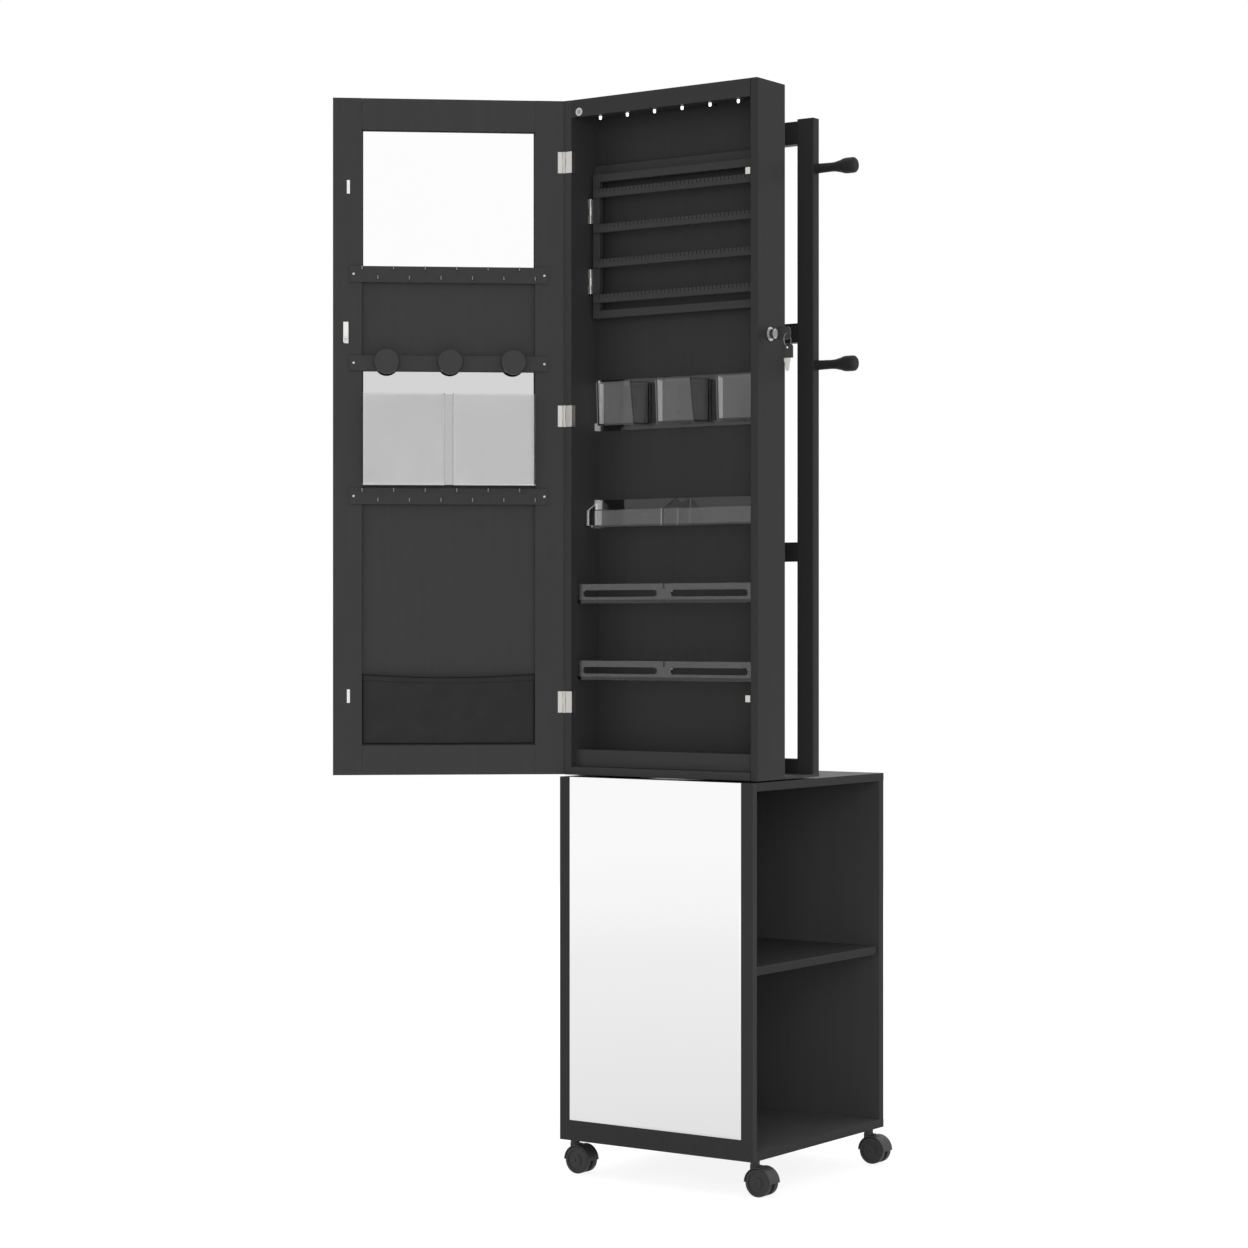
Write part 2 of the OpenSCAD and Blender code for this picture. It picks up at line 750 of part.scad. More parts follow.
// A block whose sides close in towards the front, cut back from its rim to its foot
module wedge(back_w, front_w, foot_d, rim_d, h) {
  intersection() {
    linear_extrude(h) polygon([
      [-back_w / 2, 0], [back_w / 2, 0], [front_w / 2, -rim_d], [-front_w / 2, -rim_d]
    ]);
    rotate([90, 0, -90]) translate([0, 0, -back_w]) linear_extrude(2 * back_w)
      polygon([[0, 0], [foot_d, 0], [rim_d, h], [0, h]]);
  }
}

// Earring rack: a frame with four slotted bars, hinged on the left wall
rack_x = -inner_w / 2 + rack_side_gap;
rack_w = inner_w - rack_side_gap - rack_end_gap;
rack_front = cab_front + rack_set;
rack_foot = tower_z + rack_z;
rack_pin_d = 1.4;
rack_knuckle_r = 1.5;
rack_axis_x = -inner_w / 2 + rack_axis_in;
rack_axis_y = rack_front - bar_t + rack_axis_in - move_gap;
rack_leaf_t = 1.2;
rack_leaf_d = 10;
rack_hinge_at = [rack_foot + rack_hinge_low, rack_foot + rack_hinge_low + rack_hinge_pitch];

back_strip_t = 10;
back_strip_h = 22;
back_strip_rise = 15.5;

module rack_back_strip() {
  color(black) translate([
    -inner_w / 2, cab_back_face - back_strip_t, rack_foot + rack_h + back_strip_rise - back_strip_h
  ]) plank([inner_w, back_strip_t, back_strip_h], "x");
}

module rack_frame() {
  rail_l = rack_w - 2 * rack_post_w;
  color(black) translate([rack_x, rack_front, rack_foot]) {
    plank([rack_post_w, rack_t, rack_h], "z");
    translate([rack_w - rack_post_w, 0, 0]) plank([rack_post_w, rack_t, rack_h], "z");
    for (z = [0, rack_h - rack_rail_h]) translate([rack_post_w + seam, 0, z])
      plank([rail_l - 2 * seam, rack_t, rack_rail_h], "x");
  }
}

module rack_bars() {
  slot_w = 1.2;
  slot_deep = 6;
  bar_in = 5;
  bar_l = rack_w - bar_in - 2;
  color(black) for (i = [0:3])
    translate([rack_x + bar_in, rack_front - bar_t, rack_foot + bar_low + i * bar_pitch]) difference() {
      plank([bar_l, bar_t, bar_h], "x", 1);
      for (x = [10:bar_slot_pitch:bar_l - 10]) translate([x, -1, bar_h - slot_deep])
        cube([slot_w, bar_t + 2, slot_deep + 1]);
    }
}

module rack_knuckle(z, part) {
  third = rack_hinge_h / 3;
  translate([rack_axis_x, rack_axis_y, z - rack_hinge_h / 2 + part * third + (part > 0 ? 0.15 : 0)])
    cylinder(r = rack_knuckle_r, h = third - (part == 1 ? 0.3 : 0.15));
}

// The room a rack hinge's pin takes through its knuckles
module rack_pin_bore(z) {
  translate([rack_axis_x, rack_axis_y, z - rack_hinge_h])
    cylinder(d = rack_pin_d + 0.1, h = 2 * rack_hinge_h);
}

module rack_wall_leaf(z) {
  third = rack_hinge_h / 3;
  foot = z - rack_hinge_h / 2;
  difference() {
    union() {
      translate([-inner_w / 2, rack_axis_y, foot]) cube([rack_leaf_t, rack_leaf_d, rack_hinge_h]);
      for (part = [0, 2]) {
        rack_knuckle(z, part);
        translate([-inner_w / 2, rack_axis_y + 0.3, foot + part * third + 0.2])
          cube([rack_axis_in, rack_leaf_t, third - 0.4]);
      }
    }
    rack_pin_bore(z);
    translate([rack_axis_x, rack_axis_y, z - third / 2 - 0.1])
      cylinder(r = rack_knuckle_r + fit_gap, h = third + 0.2);
  }
}

module rack_hinge_leaves() {
  third = rack_hinge_h / 3;
  color(silver) for (z = rack_hinge_at) difference() {
    union() {
      translate([rack_x - rack_leaf_t, rack_axis_y, z - rack_hinge_h / 2])
        cube([rack_leaf_t, rack_leaf_d, rack_hinge_h]);
      rack_knuckle(z, 1);
      translate([rack_axis_x, rack_axis_y + 0.3, z - third / 2 + 0.2])
        cube([rack_side_gap - rack_axis_in, rack_leaf_t, third - 0.4]);
    }
    rack_pin_bore(z);
    for (part = [0, 2])
      translate([rack_axis_x, rack_axis_y, z - rack_hinge_h / 2 + part * third - 0.2])
      cylinder(r = rack_knuckle_r + fit_gap, h = third + 0.4);
  }
}

// Cam lock in the right side, with its key, key ring and spare key
lock_axis_z = tower_z + lock_z;
flange_t = 1.5;
inner_stub = 2.5;
cam_t = 1.6;
cam_w = 7;
cam_reach = 28;
cam_hook = 8;
cam_x = half_w - board_t - inner_stub - cam_t - 0.4;
key_w = 8;
key_tip_w = 5;
key_t = 2;
key_in = 14;
shoulder_w = 10;
shoulder_l = 5;
bow_hole_d = 3.8;
bow_hole_in = 5.5;
bow_hole_x = half_w + lock_head + shoulder_l + bow_l - bow_hole_in;
wire_r = 0.6;

module lock_housing() {
  color(silver) translate([0, lock_y, lock_axis_z]) difference() {
    union() {
      translate([half_w - board_t - inner_stub, 0, 0]) rod_x(lock_barrel_d, board_t + inner_stub + lock_head);
      translate([half_w, 0, 0]) rod_x(lock_flange_d, flange_t);
    }
    translate([half_w - board_t - inner_stub - 1, 0, 0])
      rod_x(lock_core_d + 0.1, board_t + inner_stub + lock_head + 2);
  }
}

module lock_core() {
  color(silver) translate([0, lock_y, lock_axis_z]) {
    difference() {
      translate([cam_x + cam_t, 0, 0]) rod_x(lock_core_d, half_w + lock_head - cam_x - cam_t);
      translate([half_w + lock_head - key_in - 0.1, -key_t / 2 - 0.1, -key_w / 2 - 0.1])
        cube([key_in + 1, key_t + 0.2, key_w + 0.2]);
    }
    translate([cam_x, 0, 0]) rod_x(lock_core_d + 2, cam_t);
    translate([cam_x, -cam_w / 2, -cam_reach]) cube([cam_t, cam_w, cam_reach]);
    translate([cam_x, -cam_w / 2 - cam_hook, -cam_reach]) cube([cam_t, cam_hook + 1, 3]);
  }
}

// One key, with its bow's outer end at x = 0 and its blade running towards -X
module key_shape() {
  corner = 6;
  difference() {
    translate([0, bow_t / 2, 0]) rotate([90, 0, 0]) linear_extrude(bow_t) {
      translate([-bow_l, -bow_w / 2]) square([bow_l - corner, bow_w]);
      translate([-corner, -bow_w / 2 + corner]) square([corner, bow_w - 2 * corner]);
      for (side = [-1, 1]) translate([-corner, side * (bow_w / 2 - corner)]) circle(corner);
    }
    translate([-bow_hole_in, -bow_t, 0]) rod_y(bow_hole_d, 2 * bow_t);
  }
  translate([-bow_l, key_t / 2, 0]) rotate([90, 0, 0]) linear_extrude(key_t) polygon([
    [0, -shoulder_w / 2], [0, shoulder_w / 2], [-shoulder_l, shoulder_w / 2], [-shoulder_l, key_w / 2],
    [-shoulder_l - key_in + 2, key_tip_w / 2], [-shoulder_l - key_in, 0],
    [-shoulder_l - key_in + 2, -key_tip_w / 2], [-shoulder_l, -key_w / 2], [-shoulder_l, -shoulder_w / 2]
  ]);
}

module key() {
  color([0.15, 0.15, 0.15]) translate([half_w + lock_head + shoulder_l + bow_l, lock_y, lock_axis_z])
    key_shape();
}

ring_drop = 0.4;

module key_ring() {
  ring_mid = ring_od / 2 - wire_r;
  ring_z = lock_axis_z - ring_drop - ring_mid;
  hang = bow_hole_d / 2 - wire_r - 0.1;
  color(silver) {
    translate([bow_hole_x, lock_y, ring_z]) rotate([0, 90, 0]) rotate_extrude($fn = 48)
      translate([ring_mid, 0]) circle(r = wire_r, $fn = 16);
    translate([bow_hole_x, lock_y, ring_z - ring_mid - hang + bow_hole_in])
      rotate([0, -90, 0]) key_shape();
  }
}

// Coat frame with pegs, behind the cabinet
module coat_frame_posts() {
  color(black) for (x = [-half_w, half_w - post_w]) translate([x, frame_y, tower_z + plate_t])
    plank([post_w, frame_t, post_top - plate_t], "z", 1.5);
}

module coat_frame_rails() {
  rail_l = body_w - 2 * post_w;
  color(black) translate([-rail_l / 2, frame_y, tower_z]) {
    translate([0, 0, plate_t]) plank([rail_l, frame_t, foot_rail_h], "x");
    for (z = rail_z) translate([0, 0, z]) plank([rail_l, frame_t, rail_h], "x");
    translate([0, 0, top_rail_z]) plank([rail_l, frame_t, top_rail_h], "x");
  }
}

module coat_pegs() {
  color(black) for (z = peg_z, side = [-1, 1])
    translate([side * half_w, frame_y + frame_t / 2, tower_z + z]) rotate([0, side * 90, 0])
    rotate_extrude($fn = 48) peg_outline();
}

module peg_outline() {
  root_r = peg_root_d / 2;
  end_r = peg_end_d / 2;
  cap_l = 20;
  flare_l = 18;
  polygon([
    [0, 0], [root_r, 0], [root_r - 0.6, peg_l - cap_l - flare_l - 4],
    [root_r - 0.2, peg_l - cap_l - flare_l + 3], [end_r - 2, peg_l - cap_l - 4],
    [end_r - 0.5, peg_l - cap_l], [end_r, peg_l - cap_l + 4], [end_r, peg_l - 5],
    [end_r - 0.6, peg_l - 2.5], [end_r - 2.2, peg_l - 0.8], [end_r - 4.5, peg_l], [0, peg_l]
  ]);
}

spacer_x = 60;

module coat_frame_spacers() {
  color(black) for (x = [-spacer_x, spacer_x], z = [rail_z[0] + rail_h / 2, top_rail_z + top_rail_h / 2])
    translate([x, cab_rear, tower_z + z]) rod_y(spacer_d, frame_gap);
}

// Door, drawn closed and then turned about its hinge axis
door_x0 = -half_w + 0.3;
door_x1 = door_x0 + door_w;
door_z0 = tower_z + 0.4;
door_h = cab_h - 0.4;
door_in = cab_front - door_gap;
door_out = door_in - door_t;
frame_out = door_out + mirror_t;
recess_x0 = door_x0 + stile_w;
recess_x1 = door_x1 - stile_w;
recess_w = recess_x1 - recess_x0;
recess_mid = (recess_x0 + recess_x1) / 2;
recess_z0 = tower_z + door_foot_rail;
recess_z1 = tower_z + cab_h - door_top_rail;
panel_y = frame_out + door_panel_t;
lining_y = panel_y + inner_mirror_t;

module on_door() {
  translate([hinge_x, hinge_y, 0]) rotate([0, 0, -door_open]) translate([-hinge_x, -hinge_y, 0]) children();
}

module door_frame() {
  frame_depth = door_in - frame_out;
  color(black) on_door() difference() {
    union() {
      translate([door_x0, frame_out, door_z0]) plank([recess_x0 - door_x0, frame_depth, door_h], "z");
      translate([recess_x1, frame_out, door_z0]) plank([door_x1 - recess_x1, frame_depth, door_h], "z");
      translate([recess_x0 + seam, frame_out, door_z0])
        plank([recess_w - 2 * seam, frame_depth, recess_z0 - door_z0], "x");
      translate([recess_x0 + seam, frame_out, recess_z1])
        plank([recess_w - 2 * seam, frame_depth, door_z0 + door_h - recess_z1], "x");
      // A bead along the hinge axis that closes the gap to the cabinet at every angle
      translate([hinge_x, hinge_y, door_z0]) cylinder(r = bead_r, h = door_h);
    }
    for (z = hinge_at) {
      knuckle_room(tower_z + z);
      translate([door_x0 - 1, door_in - leaf_t, tower_z + z - hinge_h / 2])
        cube([1 + door_leaf - 0.3, leaf_t + 1, hinge_h]);
    }
  }
}

module door_panel() {
  color(black) on_door() translate([recess_x0, frame_out, recess_z0])
    cube([recess_w, door_panel_t, recess_z1 - recess_z0]);
}

module door_outer_mirror() {
  side = 2;
  color("white") on_door() translate([door_x0 + side, door_out, door_z0 + side])
    cube([door_w - 2 * side, mirror_t, door_h - 2 * side]);
}

low_mirror_rise = 3.8;
high_mirror_z0 = tower_z + strip_high_z + strip_h;
low_mirror_z0 = tower_z + strip_low_z + strip_h + low_mirror_rise;
low_mirror_z1 = tower_z + knob_strip_z;

module door_inner_mirrors() {
  edge = 0.5;
  color("white") on_door() {
    translate([recess_x0 + edge, panel_y, high_mirror_z0 - 4])
      cube([recess_w - 2 * edge, inner_mirror_t, recess_z1 - high_mirror_z0 + 4 - edge]);
    translate([recess_x0 + edge, panel_y, low_mirror_z0])
      cube([recess_w - 2 * edge, inner_mirror_t, low_mirror_z1 - low_mirror_z0 + 4]);
  }
}

module door_strips() {
  rows = [[strip_high_z, strip_h], [strip_low_z, strip_h], [knob_strip_z, knob_strip_h]];
  color(black) on_door() for (row = rows) translate([recess_mid - strip_l / 2, door_in, tower_z + row[0]])
    plank([strip_l, strip_t, row[1]], "x", 0.5);
}

hooks_per_row = 6;
hook_tip_d = hook_d + 0.3;
hook_tip_h = 5;
strip_face = door_in + strip_t;

module door_hooks() {
  color(silver) on_door() for (z = [strip_high_z, strip_low_z], row = [0, 1], i = [0:hooks_per_row - 1]) {
    x = recess_mid + (i - (hooks_per_row - 1) / 2 + (row == 0 ? -0.25 : 0.25)) * hook_pitch;
    hook_z = tower_z + z + (row == 0 ? 5 : strip_h - 4.5);
    translate([x, strip_face, hook_z]) rod_y(hook_d, hook_l - hook_tip_d / 2);
    translate([x, strip_face + hook_l - hook_tip_d / 2, hook_z - hook_tip_d / 2])
      cylinder(d = hook_tip_d, h = hook_tip_h);
  }
}

module door_knobs() {
  disc_t = 5;
  neck = 12;
  color(black) on_door() for (i = [-1:1])
    translate([recess_mid - 2 + i * knob_pitch, strip_face, tower_z + knob_strip_z + 13.1]) {
      rod_y(neck, knob_l - disc_t);
      translate([0, knob_l - disc_t, 0]) rotate([-90, 0, 0]) rotate_extrude($fn = 64)
        knob_outline(knob_d / 2, disc_t);
    }
}

module knob_outline(r, t) {
  round_r = 1.2;
  square([r - round_r, t]);
  square([r, t - round_r]);
  translate([r - round_r, t - round_r]) circle(round_r);
}

module door_boxes() {
  gap = recess_w - 2 * box_w - 1;
  color([0.8, 0.8, 0.82, 0.4]) on_door() for (x = [recess_x0 + 0.5, recess_x0 + 0.5 + box_w + gap])
    translate([x, lining_y, low_mirror_z0]) difference() {
      cube([box_w, box_d, box_h]);
      translate([clear_t, clear_t, clear_t]) cube([box_w - 2 * clear_t, box_d - 2 * clear_t, box_h]);
    }
}

// Gathered cloth pocket with a sagging mouth, closed at the sides and the foot
pocket_w = recess_w - 2;
pocket_cols = 36;
pocket_rows = 10;
hem_lift = 1.8;

// u runs across from 0 to 1, v from the foot to the mouth; gives the cloth's distance from the panel
function pocket_swell(u, v) =
  hem_lift + pocket_bulge * pow(sin(180 * u), 0.35) * pow(sin(90 * min(1, v * 1.15 + 0.02)), 0.7) * 0.86
  + sin(180 * u) * v * (0.45 * sin(360 * 4 * u + 200 * v) + 0.3 * sin(360 * 7 * u - 160 * v) + 0.35);
function pocket_point(u, v, out) = [
  -pocket_w / 2 + pocket_w * u,
  out ? pocket_swell(u, v) : max(pocket_swell(u, v) - cloth_t, fit_gap),
  v * (pocket_h - 4.5 * sin(180 * u) + 0.4 * sin(360 * 4 * u) * sin(180 * u))
];
function pocket_id(i, j, out) = (out ? 0 : (pocket_cols + 1) * (pocket_rows + 1)) + j * (pocket_cols + 1) + i;
function split(a, b, c, d) = [[a, b, c], [a, c, d]];

module door_pocket() {
  cols = pocket_cols;
  rows = pocket_rows;
  points = [for (out = [true, false], j = [0:rows], i = [0:cols]) pocket_point(i / cols, j / rows, out)];
  faces = concat(
    [for (j = [0:rows - 1], i = [0:cols - 1])
      each split(pocket_id(i, j, true), pocket_id(i, j + 1, true),
        pocket_id(i + 1, j + 1, true), pocket_id(i + 1, j, true))],
    [for (j = [0:rows - 1], i = [0:cols - 1])
      each split(pocket_id(i, j, false), pocket_id(i + 1, j, false),
        pocket_id(i + 1, j + 1, false), pocket_id(i, j + 1, false))],
    [for (i = [0:cols - 1])
      each split(pocket_id(i, 0, true), pocket_id(i + 1, 0, true),
        pocket_id(i + 1, 0, false), pocket_id(i, 0, false))],
    [for (i = [0:cols - 1])
      each split(pocket_id(i, rows, true), pocket_id(i, rows, false),
        pocket_id(i + 1, rows, false), pocket_id(i + 1, rows, true))],
    [for (j = [0:rows - 1])
      each split(pocket_id(0, j, true), pocket_id(0, j, false),
        pocket_id(0, j + 1, false), pocket_id(0, j + 1, true))],
    [for (j = [0:rows - 1])
      each split(pocket_id(cols, j, true), pocket_id(cols, j + 1, true),
        pocket_id(cols, j + 1, false), pocket_id(cols, j, false))]
  );
  color([0.07, 0.07, 0.07]) on_door() translate([recess_mid, panel_y, recess_z0 + 1])
    polyhedron(points = points, faces = faces, convexity = 6);
}

strike_x = 153.7;
strike_w = 7.4;
strike_z0 = 640;
strike_tall = 31.7;
strike_leg_t = 1.2;

module door_strike_plates() {
  plate_w = 4.4;
  plate_tall = 20;
  plate_x = 150;
  plate_h = 0.4;
  pin_y = lock_y - 22.5;
  color(silver) on_door() {
    for (z = catch_z) translate([plate_x - plate_w / 2, door_in, tower_z + z - plate_tall / 2])
      cube([plate_w, plate_h, plate_tall]);
    translate([strike_x - strike_w / 2, door_in, tower_z + strike_z0])
      cube([strike_w, plate_h + 0.6, strike_tall]);
    translate([strike_x + strike_w / 2 - strike_leg_t, door_in, tower_z + strike_z0])
      cube([strike_leg_t, pin_y + 2 - door_in, 12]);
    translate([strike_x - strike_w / 2, pin_y, tower_z + strike_z0 + 7]) rod_x(2.4, strike_w);
  }
}

module door_hinge_leaves() {
  color(silver) on_door() for (z = hinge_at) difference() {
    union() {
      translate([hinge_x, door_in - leaf_t, tower_z + z - hinge_h / 2])
        cube([door_leaf, leaf_t, hinge_h]);
      hinge_barrel(tower_z + z, 1, 2, 2 * knuckle_r);
      translate([hinge_x, door_in - leaf_t, tower_z + z - knuckle_h / 2 + 0.15])
        cube([knuckle_r, 1.2, knuckle_h - 0.3]);
    }
    translate([hinge_x, hinge_y, tower_z + z - hinge_h]) cylinder(d = pin_d + 0.1, h = 2 * hinge_h);
    for (part = [0, 2])
      translate([hinge_x, hinge_y, tower_z + z - hinge_h / 2 + part * knuckle_h - 0.1])
      cylinder(r = knuckle_r + fit_gap, h = knuckle_h + 0.2);
  }
}

base_bottom_panel();
base_top_panel();
base_left_panel();
base_back_panel();
base_front_panel();
base_front_mirror();
base_shelf();
turntable_lower();
castor_fork(castor_at[0]);  // castor_fork_fl
castor_fork(castor_at[1]);  // castor_fork_fr
castor_fork(castor_at[2]);  // castor_fork_rl
castor_fork(castor_at[3]);  // castor_fork_rr
castor_wheels(castor_at[0]);  // castor_wheels_fl
castor_wheels(castor_at[1]);  // castor_wheels_fr
castor_wheels(castor_at[2]);  // castor_wheels_rl
castor_wheels(castor_at[3]);  // castor_wheels_rr
turntable_upper();
tower_plate();
cabinet_left_side();
cabinet_right_side();
cabinet_top();
cabinet_bottom();
cabinet_back();
cabinet_fascia();
cabinet_lip();
led_strip();
led_lenses();
battery_box();
switch_ring();
switch_button();
cabinet_hinge_leaves();
hinge_pins();
magnet_catches();
shelf_boards();
shelf_fences();
clear_tray();
clear_cups();
rack_back_strip();
rack_frame();
rack_bars();
rack_hinge_leaves();
lock_housing();
lock_core();
key();
key_ring();
coat_frame_posts();
coat_frame_rails();
coat_pegs();
coat_frame_spacers();
door_frame();
door_panel();
door_outer_mirror();
door_inner_mirrors();
door_strips();
door_hooks();
door_knobs();
door_boxes();
door_pocket();
door_strike_plates();
door_hinge_leaves();
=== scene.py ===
import json
import math

import bmesh
import bpy
from mathutils import Matrix, Vector, noise


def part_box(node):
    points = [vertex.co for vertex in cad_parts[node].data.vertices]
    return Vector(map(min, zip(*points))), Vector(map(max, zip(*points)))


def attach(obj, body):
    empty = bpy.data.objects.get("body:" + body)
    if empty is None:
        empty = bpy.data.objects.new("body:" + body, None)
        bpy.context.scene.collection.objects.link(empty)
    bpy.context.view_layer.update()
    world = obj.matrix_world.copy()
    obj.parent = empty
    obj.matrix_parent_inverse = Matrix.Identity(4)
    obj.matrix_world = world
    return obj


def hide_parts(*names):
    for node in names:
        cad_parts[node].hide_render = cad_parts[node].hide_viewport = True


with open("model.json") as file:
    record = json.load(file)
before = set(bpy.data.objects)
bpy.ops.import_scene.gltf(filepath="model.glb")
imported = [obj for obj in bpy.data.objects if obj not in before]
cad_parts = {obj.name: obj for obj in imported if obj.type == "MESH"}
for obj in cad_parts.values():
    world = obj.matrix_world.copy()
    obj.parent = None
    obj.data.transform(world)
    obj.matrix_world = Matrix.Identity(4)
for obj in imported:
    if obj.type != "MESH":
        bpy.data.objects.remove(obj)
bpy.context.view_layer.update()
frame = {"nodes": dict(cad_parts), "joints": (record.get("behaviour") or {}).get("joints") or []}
nodes = frame["nodes"]
joints = {joint["name"]: joint for joint in frame["joints"]}
scene = bpy.context.scene

# The door's pieces are modelled shut and then turned to where the door rests
doorHinge = Vector(joints["door_swing"]["pos_m"])
doorShut = math.radians(joints["door_swing"]["range_deg"][0])
doorTurn = (
    Matrix.Translation(doorHinge)
    @ Matrix.Rotation(doorShut, 4, "Z")
    @ Matrix.Translation(-doorHinge)
)


# Modelling helpers

def dropPick():
    bpy.ops.object.select_all(action="DESELECT")


def pickOnly(piece):
    dropPick()
    bpy.context.view_layer.objects.active = piece
    piece.select_set(True)


def nameActive(name):
    piece = bpy.context.active_object
    piece.name = piece.data.name = name
    return piece


def startBlock(name, low, high):
    dropPick()
    low, high = Vector(low), Vector(high)
    bpy.ops.mesh.primitive_cube_add(size=1, location=(low + high) / 2)
    piece = nameActive(name)
    piece.scale = high - low
    bpy.ops.object.transform_apply(location=True, rotation=True, scale=True)
    return piece


def editFaces(piece, wanted):
    # Opens edit mode with only the wanted faces picked
    pickOnly(piece)
    bpy.ops.object.mode_set(mode="EDIT")
    bpy.ops.mesh.select_mode(type="FACE")
    bpy.ops.mesh.select_all(action="DESELECT")
    work = bmesh.from_edit_mesh(piece.data)
    for face in work.faces:
        if wanted(face):
            face.select_set(True)
    bmesh.update_edit_mesh(piece.data)


def leaveEdit():
    bpy.ops.object.mode_set(mode="OBJECT")


def applyModifier(piece, kind, **settings):
    modifier = piece.modifiers.new(kind.lower(), kind)
    for key, value in settings.items():
        setattr(modifier, key, value)
    bpy.context.view_layer.objects.active = piece
    bpy.ops.object.modifier_apply(modifier=modifier.name)


def settle(piece, turn=None):
    # Puts the piece's place into its mesh, turned with the door if asked
    pickOnly(piece)
    if turn is not None:
        piece.matrix_world = turn @ piece.matrix_world
    bpy.ops.object.transform_apply(location=True, rotation=True, scale=True)


def ownCopy(piece, name):
    twin = piece.copy()
    twin.data = piece.data.copy()
    twin.name = twin.data.name = name
    scene.collection.objects.link(twin)
    return twin


def dress(piece, finish):
    piece.data.materials.clear()
    piece.data.materials.append(finish)


# Material helpers: each adds one node and gives back what comes out of it

def feed(tree, value, socket):
    # Links what another node gives, or sets a plain value
    if isinstance(value, bpy.types.NodeSocket):
        tree.links.new(value, socket)
    elif value is not None:
        socket.default_value = value


def mathNode(tree, operation, first, second=None, third=None, clamp=False):
    node = tree.nodes.new("ShaderNodeMath")
    node.operation = operation
    node.use_clamp = clamp
    for place, value in enumerate((first, second, third)):
        feed(tree, value, node.inputs[place])
    return node.outputs[0]


def above(tree, value, limit):
    return mathNode(tree, "GREATER_THAN", value, limit)


def below(tree, value, limit):
    return mathNode(tree, "LESS_THAN", value, limit)


def bothOf(tree, first, second):
    return mathNode(tree, "MULTIPLY", first, second)


def eitherOf(tree, first, second):
    return mathNode(tree, "MAXIMUM", first, second)


def awayFrom(tree, value, middle):
    return mathNode(tree, "ABSOLUTE", mathNode(tree, "SUBTRACT", value, middle))


def noiseNode(tree, vector, scale, detail=3.0, roughness=0.5):
    texture = tree.nodes.new("ShaderNodeTexNoise")
    texture.inputs["Detail"].default_value = detail
    texture.inputs["Roughness"].default_value = roughness
    feed(tree, vector, texture.inputs["Vector"])
    feed(tree, scale, texture.inputs["Scale"])
    return texture.outputs["Fac"]


def rangeNode(tree, value, start, end, low=0.0, high=1.0, kind="LINEAR"):
    node = tree.nodes.new("ShaderNodeMapRange")
    node.interpolation_type = kind
    feed(tree, value, node.inputs["Value"])
    node.inputs["From Min"].default_value = start
    node.inputs["From Max"].default_value = end
    node.inputs["To Min"].default_value = low
    node.inputs["To Max"].default_value = high
    return node.outputs["Result"]


def mixTones(tree, amount, first, second, blend="MIX"):
    node = tree.nodes.new("ShaderNodeMix")
    node.data_type = "RGBA"
    node.blend_type = blend
    feed(tree, amount, node.inputs["Factor"])
    feed(tree, first, node.inputs["A"])
    feed(tree, second, node.inputs["B"])
    return node.outputs["Result"]


def scaleTone(tree, tone, level):
    node = tree.nodes.new("ShaderNodeVectorMath")
    node.operation = "SCALE"
    feed(tree, tone, node.inputs[0])
    feed(tree, level, node.inputs["Scale"])
    return node.outputs[0]


def mixShaders(tree, amount, first, second):
    node = tree.nodes.new("ShaderNodeMixShader")
    feed(tree, amount, node.inputs["Fac"])
    feed(tree, first, node.inputs[1])
    feed(tree, second, node.inputs[2])
    return node.outputs[0]


def bumpNode(tree, height, strength, depth):
    node = tree.nodes.new("ShaderNodeBump")
    node.inputs["Strength"].default_value = strength
    node.inputs["Distance"].default_value = depth
    feed(tree, height, node.inputs["Height"])
    return node.outputs["Normal"]


def placeNode(tree):
    return tree.nodes.new("ShaderNodeTexCoord").outputs


def splitAxes(tree, vector):
    node = tree.nodes.new("ShaderNodeSeparateXYZ")
    feed(tree, vector, node.inputs[0])
    return node.outputs


def objectVector(tree, scale=(1, 1, 1), turn=(0, 0, 0)):
    mapping = tree.nodes.new("ShaderNodeMapping")
    mapping.inputs["Scale"].default_value = scale
    mapping.inputs["Rotation"].default_value = turn
    feed(tree, placeNode(tree)["Object"], mapping.inputs["Vector"])
    return mapping.outputs["Vector"]


def seenRays(tree):
    # 1 for what the camera, a mirror or glass looks at, 0 for light that falls on things
    rays = tree.nodes.new("ShaderNodeLightPath").outputs
    direct = mathNode(tree, "ADD", rays["Is Camera Ray"], rays["Is Glossy Ray"])
    return mathNode(tree, "ADD", direct, rays["Is Transmission Ray"], clamp=True)


# Camera, light and floor

def makeCamera():
    view = {
        "spot": (2.434, -3.723, 0.8167), "turn": 35.1, "lens": 85.21, "sensor": 36.0, "reach": 80,
    }
    lens = bpy.data.cameras.new("view")
    lens.lens = view["lens"]
    lens.sensor_width = view["sensor"]
    lens.clip_end = view["reach"]
    camera = bpy.data.objects.new("view", lens)
    scene.collection.objects.link(camera)
    camera.location = view["spot"]
    camera.rotation_euler = (math.pi / 2, 0, math.radians(view["turn"]))
    scene.camera = camera


def makeWorld():
    sky = {"tone": (1, 1, 1, 1), "ambient": 0.6, "seen": 1.0}
    world = bpy.data.worlds.new("studio")
    scene.world = world
    world.use_nodes = True
    tree = world.node_tree
    ambient = tree.nodes["Background"]
    seen = tree.nodes.new("ShaderNodeBackground")
    for background, strength in ((ambient, sky["ambient"]), (seen, sky["seen"])):
        background.inputs["Color"].default_value = sky["tone"]
        background.inputs["Strength"].default_value = strength
    light = mixShaders(tree, seenRays(tree), ambient.outputs[0], seen.outputs[0])
    feed(tree, light, tree.nodes["World Output"].inputs["Surface"])


